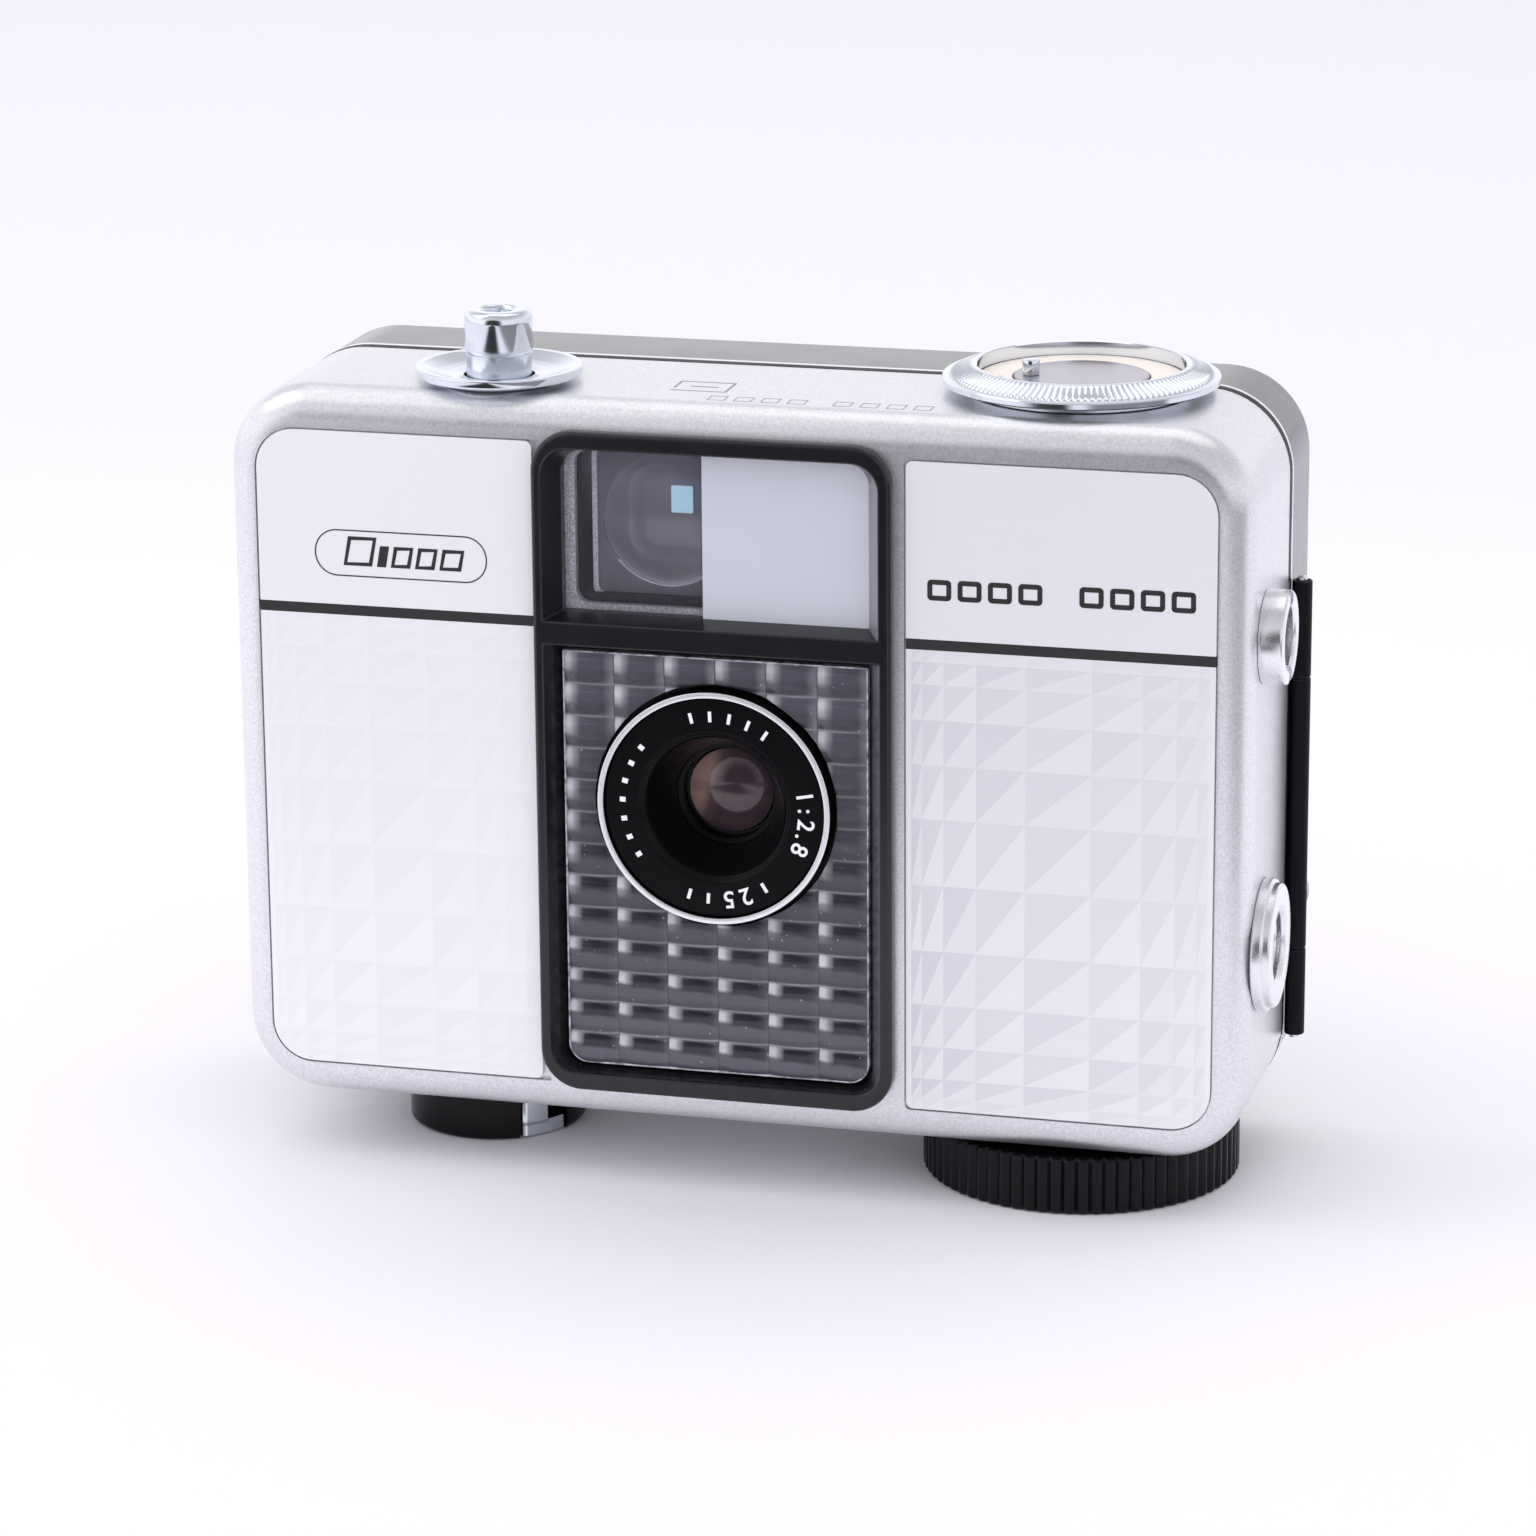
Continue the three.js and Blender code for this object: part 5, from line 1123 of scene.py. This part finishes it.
# ---------------------------------------------------------------- top controls
def top_engraving():
    """Two rows of blank outlines and a plain bracket. Each stroke is (x0, x1, y0, y1)."""
    strokes = [(-6.5, -1.7, 6.2, 6.4), (-6.5, -1.7, 9.6, 9.8), (-1.9, -1.7, 6.4, 9.6), (-6.5, -6.3, 7.2, 9.6),
               (-5.2, -2.8, 7.85, 8.1)]
    for i in range(8):
        x = 16.3 - i * 2.25 - (1.6 if i > 3 else 0.0)
        strokes += [(x - 1.5, x, 3.2, 3.3), (x - 1.5, x, 4.7, 4.8), (x - 1.5, x - 1.4, 3.3, 4.7),
                    (x - 0.1, x, 3.3, 4.7)]
    lines = joined(block(*stroke, HEIGHT - 0.05, HEIGHT + 0.012) for stroke in strokes)
    make("top_engraving", lines, GREY_INK, "camera_body", smooth=False)


def release_button():
    centre = turned_node("button_collar")[0]
    top = cad("shutter_button")[1].z
    dish = [(2.95, 61.0), (3.5, 61.0), (3.5, 62.0), (5.3, 62.02), (5.5, 62.2), (6.75, 62.45), (7.0, 62.6),
            (7.0, 63.2), (6.92, 63.28), (6.35, 63.28), (6.2, 63.2), (5.0, 62.72), (4.2, 62.58), (2.95, 62.52),
            (2.95, 61.0)]
    make("button_dish", spin(soften(dish, 0.12), "Z", centre, 128), CHROME, "camera_body",
         ["button_collar"], sharp=40)
    stem = [(0, 58.4), (3.3, 58.4), (3.3, 59.2), (2.72, 59.2), (2.72, 64.35), (2.78, 64.4), (2.87, 64.5),
            (2.87, top - 0.9), (2.8, top - 0.45), (2.62, top - 0.14), (2.3, top), (1.52, top),
            (1.3, top - 0.3),
            (1.3, top - 2.5), (0, top - 2.5)]
    sleeve = lambda a, b: 1 if max(a[1], b[1]) < 64.38 else 0
    make("button", spin(soften(stem, 0.1), "Z", centre, 96, tags=sleeve), [CHROME, SATIN_CHROME],
         "release_button", ["shutter_button"], sharp=40)


def dial():
    centre, radius, low, high = turned_node("exposure_dial")
    top = high.z
    under = 62.77
    floor = under - 0.02
    knurl = (0.0, 0.13)
    ring = [(2.15, 59.5), (3.0, 59.5), (3.0, 62.1), (9.2, 62.1), (9.2, under), (radius - 0.15, under),
            (radius, under + 0.12), (radius, under + 0.5), (radius - 0.06, under + 0.6),
            (10.95, under + 0.66),
            (10.85, under + 0.82, knurl), (10.6, under + 0.98, knurl), (9.25, top - 0.1, knurl),
            (9.1, top - 0.03), (8.95, top), (8.72, top), (8.6, top - 0.08), (8.6, floor), (2.15, floor),
            (2.15, 59.5)]
    make("dial_ring", spin(ring, "Z", centre, 480, wave=ridges(120, 1.3)), CHROME, "exposure_ring",
         ["exposure_dial"], sharp=24)
    _, outer, low, high = turned_node("dial_scale_plate")
    scale = [(5.72, low.z), (outer, low.z), (outer, high.z), (5.72, high.z), (5.72, low.z)]
    make("dial_scale", spin(soften(scale, 0.06), "Z", centre, 128), CREAM, "exposure_ring",
         ["dial_scale_plate"])
    dial_numbers(centre, high.z)
    _, radius, low, high = turned_node("film_speed_disc")
    disc = [(0, 59.2), (1.95, 59.2), (1.95, low.z + 3.6), (radius, low.z + 3.6), (radius, high.z - 0.1),
            (radius - 0.1, high.z), (0, high.z)]
    make("speed_disc", spin(soften(disc, 0.06), "Z", centre, 96), DIAL_GREY, "film_speed_selector",
         ["film_speed_disc"])
    centre, radius, low, high = turned_node("film_speed_pin")
    pin = [(0, low.z), (radius, low.z), (radius, high.z), (0, high.z)]
    make("speed_pin", spin(soften(pin, 0.15), "Z", centre, 40), CHROME, "film_speed_selector",
         ["film_speed_pin"])


def dial_numbers(centre, z):
    """Plain aperture numbers and ticks round the cream scale."""
    signs = []
    for n, number in enumerate(("2.8", "4", "5.6", "8", "11", "16", "22")):
        a = math.radians(200 + n * 24)
        out, along = Vector((math.cos(a), math.sin(a), 0)), Vector((math.sin(a), -math.cos(a), 0))
        spot = Vector((*centre, z)) + out * 7.0
        signs.append(text_form(number, 1.5, glyph_matrix(along, out, (0, 0, 1), spot)))
    make("dial_numbers", joined(signs), GREY_INK, "exposure_ring", smooth=False)


# ---------------------------------------------------------------- side fittings
def pc_socket():
    centre, radius, low, high = turned_node("pc_socket_shell", "X")
    tip = high.x
    tube = [(2.6, low.x), (3.05, low.x), (3.05, HALF), (radius, HALF), (radius, tip - 0.2),
            (radius - 0.2, tip),
            (2.85, tip), (2.6, tip - 0.2), (2.6, low.x)]
    notch = block(tip - 0.55, tip + 1, centre[0] - 0.65, centre[0] + 0.65, centre[1] - 5, centre[1] + 5)
    make("pc_socket", spin(soften(tube, 0.15), "X", centre, 96), TURNED, "camera_body",
         ["pc_socket_shell"], [notch], sharp=35)
    cup = [(0.95, HALF - 3.8), (2.57, HALF - 3.8), (2.57, HALF - 0.2), (2.3, HALF - 0.5), (0.95, HALF - 0.5),
           (0.95, HALF - 3.8)]
    make("pc_insulator", spin(soften(cup, 0.08), "X", centre, 64), SATIN_BLACK, "camera_body",
         ["pc_socket_insulator"])
    contact = [(0, HALF - 3.9), (0.9, HALF - 3.9), (0.9, HALF + 1.2), (0.45, HALF + 1.2), (0.45, HALF),
               (0, HALF)]
    make("pc_contact", spin(soften(contact, 0.08), "X", centre, 48), CHROME, "camera_body",
         ["pc_socket_contact"])


def tripod_bush():
    centre, radius, low, high = turned_node("tripod_bush", "X")
    tip = high.x
    body = [(0, low.x), (4.6, low.x), (4.6, HALF), (radius - 0.15, HALF), (radius, HALF + 0.15),
            (radius, HALF + 0.8), (radius - 0.15, HALF + 0.95), (5.18, HALF + 0.97), (5.18, tip - 0.15),
            (5.03, tip), (3.3, tip), (2.95, tip - 0.35)]
    depth = tip - 0.35
    while depth > low.x + 2.0:
        body += [(2.95, depth - 0.15), (3.2, depth - 0.5), (2.95, depth - 0.85)]
        depth -= 1.0
    body += [(2.9, low.x + 1.0), (0, low.x + 1.0)]
    make("tripod_socket", spin(soften(body, 0.05), "X", centre, 96), TURNED, "camera_body",
         ["tripod_bush"], sharp=35)


def hinge():
    """A slim black barrel standing on the seam: body knuckles above and below, the door's between them."""
    centre, pin_radius, pin_low, pin_high = turned_node("hinge_pin")
    leaf_low, leaf_high = cad("hinge_body_leaf")
    tab_low, door_high = cad("hinge_door_leaf")
    barrel = leaf_high.x - centre[0]
    bore = 0.51
    play = 0.1

    def knuckle(z0, z1):
        ring = [(bore, z0), (barrel, z0), (barrel, z1), (bore, z1), (bore, z0)]
        return spin(soften(ring, 0.14), "Z", centre, 48)

    strip = block(leaf_low.x, HALF, SEAM + 0.03, SEAM + SEAM_GAP - 0.03, leaf_low.z, leaf_high.z)
    make("hinge_leaf", strip, HINGE_BLACK, "camera_body", ["hinge_body_leaf"], edge=0.04)
    knuckles = joined([knuckle(leaf_low.z, tab_low.z - play), knuckle(door_high.z + play, leaf_high.z)])
    make("hinge_knuckles", knuckles, HINGE_BLACK, "camera_body", sharp=40)
    make("hinge_door_knuckle", knuckle(tab_low.z, door_high.z), HINGE_BLACK, "door",
         ["hinge_door_leaf"], sharp=40)
    tab = block(HALF + 0.02, HALF + 0.35, centre[1] - 0.25, centre[1] + 3.75, tab_low.z, door_high.z)
    make("hinge_door_tab", tab, HINGE_BLACK, "door", edge=0.08)
    rod = [(0, pin_low.z), (pin_radius, pin_low.z), (pin_radius, pin_high.z), (0, pin_high.z)]
    make("hinge_rod", spin(soften(rod, 0.2), "Z", centre, 40), CHROME, "camera_body", ["hinge_pin"])


# ---------------------------------------------------------------- knobs underneath
def winding_knob():
    centre, radius, low, high = turned_node("winding_knob")
    rib = (0.32, 0.0)
    side = [(1.75, high.z), (radius - 0.5, high.z), (radius - 0.12, high.z - 0.12, rib),
            (radius, high.z - 0.3, rib), (radius, low.z + 0.3, rib), (radius - 0.12, low.z + 0.12, rib),
            (radius - 0.5, low.z), (11.6, low.z), (11.4, low.z + 0.18), (4.2, low.z + 0.18), (4.0, low.z),
            (3.4, low.z), (3.4, -4.2), (1.75, -4.2), (1.75, high.z)]
    make("winder_knob", spin(side, "Z", centre, 576, wave=ridges(72, 2.2)), KNOB_BLACK, "winder",
         ["winding_knob"], sharp=26)
    head_low, head_high = cad("winding_knob_screw")
    head = [(0, head_low.z), (2.8, head_low.z), (3.2, head_low.z + 0.35), (3.2, -4.22), (1.0, -4.22),
            (1.0, head_high.z), (0, head_high.z)]
    slot = block(centre[0] - 4, centre[0] + 4, centre[1] - 0.35, centre[1] + 0.35, -6, -4.6)
    make("winder_screw", spin(soften(head, 0.1), "Z", centre, 64), CHROME, "winder",
         ["winding_knob_screw"], [slot])


def rewind_knob():
    (x, y), radius, low, high = turned_node("rewind_knob")

    def turned(form):
        return turn_z(form, x, y, -40.0)

    body = [(0, high.z), (radius - 0.3, high.z), (radius, high.z - 0.3), (radius, low.z + 0.35),
            (radius - 0.35, low.z), (0, low.z)]
    half = 2.4
    slots = [turned(block(x - 9, x + 9, y - half, y + half, low.z - 1, -3.3)),
             turned(block(x + 6.2, x + 9, y - half, y + half, low.z - 1, -1.6)),
             bar("Z", 1.6, -4, 0, (x, y), 48)]
    make("rewinder_knob", spin(soften(body, 0.2), "Z", (x, y), 128), KNOB_BLACK, "rewinder",
         ["rewind_knob"], slots, edge=0.12, sharp=30)
    crank_low, crank_high = cad("rewind_crank")
    bottom, top = crank_low.z, -3.85
    rim = bar("Z", radius - 0.25, -9, 0, (x, y), 96)
    pin_hole = turned(bar("Y", 0.55, y - 4, y + 4, (x - 5.2, -4.4), 32))
    make("crank_lever", turned(block(x - 5.2, x + 9.0, y - 2.1, y + 2.1, bottom, top)), SATIN_CHROME, "crank",
         ["rewind_crank"], [pin_hole], keep=[rim], edge=0.15)
    make("crank_tab", turned(block(x + 6.65, x + 9.0, y - 2.1, y + 0.3, top - 0.3, crank_high.z)),
         SATIN_CHROME, "crank", keep=[rim], edge=0.15)


# ---------------------------------------------------------------- back door
def back_door():
    start = SEAM + SEAM_GAP
    rings = [body_ring(0.3, start), body_ring(0.08, start + 0.08), body_ring(0, start + 0.3)]
    rings += [body_ring(draw_in, DEPTH - along) for draw_in, along in reversed(quarter_arc(BACK_FILLET, 8))]
    cavity = loft([body_ring(WALL, start - 1), body_ring(WALL, DEPTH - 1.5),
                   body_ring(WALL + 0.35, DEPTH - 1.0)])
    eye_low, eye_high = cad("eyepiece_frame")
    hole = rounded_rect(eye_low.x + 1, eye_high.x - 1, eye_low.z + 1, eye_high.z - 1, 0.3, 4)
    cutters = [cavity, front_slab(hole, 26, 29)]
    make("rear_door", loft(rings), DOOR_BLACK, "door", ["back_door"], cutters, sharp=28)
    latch = cad("latch_slider")[0]
    lug = block(-HALF + 1.0, -HALF + 2.05, 18.6, 20.2, latch.z - 2.7, latch.z - 0.4)
    make("door_lug", lug, STEEL, "door", edge=0.12)
    bead = frame_ring(outline_at(-0.03), outline_at(0.35), start + 0.02, start + 0.5)
    leaf_low, leaf_high = cad("hinge_body_leaf")
    beside_hinge = block(leaf_low.x - 0.3, 46, 17, 29, leaf_low.z - 0.1, leaf_high.z + 0.1)
    make("door_bead", bead, TURNED, "door", cutters=[beside_hinge], edge=0.04)
    trap = frame_ring(outline_at(-0.03), outline_at(0.5), SEAM - 0.85, SEAM + 0.12)
    make("light_trap", trap, HINGE_BLACK, "camera_body", cutters=[beside_hinge], edge=0.04)


def outline_at(draw_in):
    """The body's outline seen from the front, drawn in by so much."""
    return [(x, z) for x, _, z in body_ring(draw_in, 0.0)]


def door_dress():
    low, high = cad("back_covering")
    outline = rounded_rect(low.x, high.x, low.z, high.z, 3.0, 12)
    make("door_leather", front_slab_back(outline, DEPTH - 0.02, high.y, 0.3), LEATHER, "door",
         ["back_covering"])
    eye_low, eye_high = cad("eyepiece_frame")
    outer = rounded_rect(eye_low.x, eye_high.x, eye_low.z, eye_high.z, 1.2, 8)
    rim = front_slab_back(outer, DEPTH - 0.6, eye_high.y, 0.35)
    opening = rounded_rect(eye_low.x + 1.8, eye_high.x - 1.8, eye_low.z + 1.8, eye_high.z - 1.8, 0.5, 6)
    flare = [[(px, y, pz) for px, pz in inset(opening, -grow)]
             for y, grow in ((DEPTH - 3, 0), (DEPTH + 0.7, 0), (eye_high.y + 0.1, 0.5))]
    make("eyepiece_rim", rim, SATIN_BLACK, "door", ["eyepiece_frame"], [loft(flare)],
         edge=0.08)
    stud_low, stud_high = cad("door_stud")
    stud = rounded_rect(stud_low.x, stud_high.x, stud_low.z, stud_high.z, 2.15, 10)
    make("stud", front_slab_back(stud, DEPTH + 0.02, stud_high.y, 0.5), STEEL, "door", ["door_stud"])


def front_slab_back(outline, y0, y1, edge):
    """A slab whose rear rim is rounded."""
    rings = [[(x, y0, z) for x, z in outline]]
    rings += [[(x, y1 - along, z) for x, z in inset(outline, draw_in)]
              for draw_in, along in reversed(quarter_arc(edge, 5))]
    return loft(rings)


def latch():
    low, high = cad("latch_slider")
    grooves = [block(low.x - 1, low.x + 0.4, 10, 17, low.z + 1.1 + i * 1.4,
                     low.z + 1.7 + i * 1.4) for i in range(4)]
    grip = block(low.x, -HALF - 0.1, 10.5, 16.5, low.z, high.z)
    make("latch_grip", grip, SATIN_CHROME, "latch", ["latch_slider"], grooves, edge=0.15)
    neck = block(-HALF - 0.2, -HALF + 1.35, 12.3, 14.7, low.z + 1.4, low.z + 5.2)
    make("latch_neck", neck, STEEL, "latch", edge=0.1)
    make("latch_plate", block(-HALF + 1.3, -HALF + 2.0, 9, 20.5, low.z, high.z), STEEL, "latch",
         edge=0.1)


def floor_fittings():
    centre, _, low, high = turned_node("rewind_release_button")
    button = [(0, low.z + 0.25), (0.7, low.z + 0.2), (1.1, low.z), (1.3, low.z + 0.2), (1.3, 1.35),
              (1.8, 1.35),
              (1.8, high.z), (0, high.z)]
    make("release_stud", spin(soften(button, 0.08), "Z", centre, 48), CHROME, "rewind_release",
         ["rewind_release_button"])


# ---------------------------------------------------------------- CAD pieces that stay
KEPT = {
    "finder_front_glass": CLEAR, "bright_line_window": OPAL, "selenium_cell": CELL,
    "front_lens_cell": MATT_BLACK,
    "middle_lens_element": CLEAR, "shutter_housing": STEEL, "left_shutter_blade": STEEL,
    "right_shutter_blade": STEEL, "rear_lens_cell": MATT_BLACK, "rear_lens_element": CLEAR,
    "meter_coil_case": STEEL, "meter_needle": BRASS, "button_spring": STEEL,
    "winding_arbor": STEEL, "mainspring": STEEL, "take_up_spool": SATIN_BLACK, "film_sprocket": CHROME,
    "frame_counter_disc": WHITE_INK, "counter_window": CLEAR, "rewind_shaft": STEEL,
    "rewind_crank_pin": STEEL,
    "film_chassis": MATT_BLACK, "chassis_screw_1": STEEL, "chassis_screw_2": STEEL, "eyepiece_lens": CLEAR,
    "pressure_plate": SATIN_BLACK, "pressure_spring": STEEL,
}


def dress_cad():
    for name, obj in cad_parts.items():
        finish = KEPT.get(name, STEEL)
        obj.data.materials.clear()
        obj.data.materials.append(finish)
        obj.data.shade_smooth()
        obj.data.set_sharp_from_angle(angle=math.radians(32))


# ---------------------------------------------------------------- the stage
# The floor and lamps are in metres, the camera in millimetres of the shared frame.
FLOOR_HALF = 3.0
LAMP_AIM = Vector((0, 0, 0.035))
CAMERA_TARGET = Vector((3.295, -14.15, 37.163))
CAMERA_DISTANCE = 475.56
CAMERA_ANGLES = (15.0, 16.04, -0.444)  # azimuth, elevation and roll, in degrees
CAMERA_FOCAL_LENGTH = 135.04


def stage():
    half = FLOOR_HALF
    mesh = bpy.data.meshes.new("floor")
    mesh.from_pydata([(-half, -half, 0), (half, -half, 0), (half, half, 0), (-half, half, 0)], [],
                     [(0, 1, 2, 3)])
    floor = bpy.data.objects.new("floor", mesh)
    bpy.context.scene.collection.objects.link(floor)
    mesh.materials.append(cloth_floor("floor_cloth"))


def studio_world():
    """A pale studio: brightest from the left, dimmer from the right, with a dark strip behind the viewer."""
    world = bpy.data.worlds.new("studio")
    bpy.context.scene.world = world
    w = Nodes(world, "ShaderNodeOutputWorld")
    split = w.node("ShaderNodeSeparateXYZ")
    w.put(split.inputs[0], w.node("ShaderNodeTexCoord").outputs["Generated"])

    def along(letter, *stops):
        """Brightness by direction: 0 is the axis's far negative end, 1 its far positive end."""
        return w.ramp(w.times(w.plus(split.outputs[letter], 1.0), 0.5), *stops)

    def dimmed(a, b):
        return w.mix(1.0, a, b, "MULTIPLY")

    sideways = along("X", (0.0, 1.0), (0.40, 0.97), (0.60, 0.90), (0.80, 0.84), (1.0, 0.80))
    height = along("Z", (0.45, 0.9), (0.60, 1.0), (0.80, 0.62), (1.0, 0.45))
    mirrored = dimmed(dimmed(sideways, height), (1.18, 1.17, 1.22))
    mirrored = dimmed(mirrored, along("Y", (0.03, 0.04), (0.08, 1.0)))
    spread = dimmed(along("Z", (0.5, 1.0), (0.75, 0.85), (1.0, 0.8)), (1.42, 1.40, 1.46))
    glossy = w.node("ShaderNodeLightPath").outputs["Is Glossy Ray"]
    shade = w.node("ShaderNodeBackground")
    w.put(shade.inputs["Color"], w.mix(glossy, spread, mirrored))
    w.finish(shade.outputs[0])


def softbox(name, spot, width, height, power):
    """A soft lamp aimed at the middle of the object."""
    light = bpy.data.lights.new(name, "AREA")
    light.shape = "RECTANGLE"
    light.size = width
    light.size_y = height
    light.energy = power
    obj = bpy.data.objects.new(name, light)
    obj.location = spot
    obj.rotation_euler = (LAMP_AIM - obj.location).to_track_quat("-Z", "Y").to_euler()
    bpy.context.scene.collection.objects.link(obj)


def camera():
    """The viewpoint: round to the right and above, about half a metre away, with a long lens."""
    azimuth, elevation, roll = (math.radians(degrees) for degrees in CAMERA_ANGLES)
    back = Vector((math.sin(azimuth) * math.cos(elevation), -math.cos(azimuth) * math.cos(elevation),
                   math.sin(elevation)))
    right = (-back).cross(Vector((0, 0, 1))).normalized()
    up = right.cross(-back)
    right, up = (math.cos(roll) * right + math.sin(roll) * up, -math.sin(roll) * right + math.cos(roll) * up)
    data = bpy.data.cameras.new("camera")
    data.sensor_width = 36.0
    data.lens = CAMERA_FOCAL_LENGTH
    data.clip_start = 0.01
    data.clip_end = 20.0
    obj = bpy.data.objects.new("camera", data)
    turn = Matrix((right, up, back)).transposed().to_4x4()
    obj.matrix_world = Matrix.Translation((CAMERA_TARGET + back * CAMERA_DISTANCE) * MM) @ turn
    bpy.context.scene.collection.objects.link(obj)
    bpy.context.scene.camera = obj
    bpy.context.scene.view_settings.view_transform = "Standard"


dress_cad()
front_shell()
face_plates()
plate_marks()
window_frame()
finder()
meter_window()
lens()
lens_marks()
top_engraving()
release_button()
dial()
pc_socket()
tripod_bush()
hinge()
winding_knob()
rewind_knob()
back_door()
door_dress()
latch()
floor_fittings()
stage()
studio_world()
softbox("key", (-0.75, -0.2, 0.95), 0.8, 0.8, 2.1)
softbox("top", (0.05, 0.3, 1.1), 1.0, 0.8, 1.8)
camera()
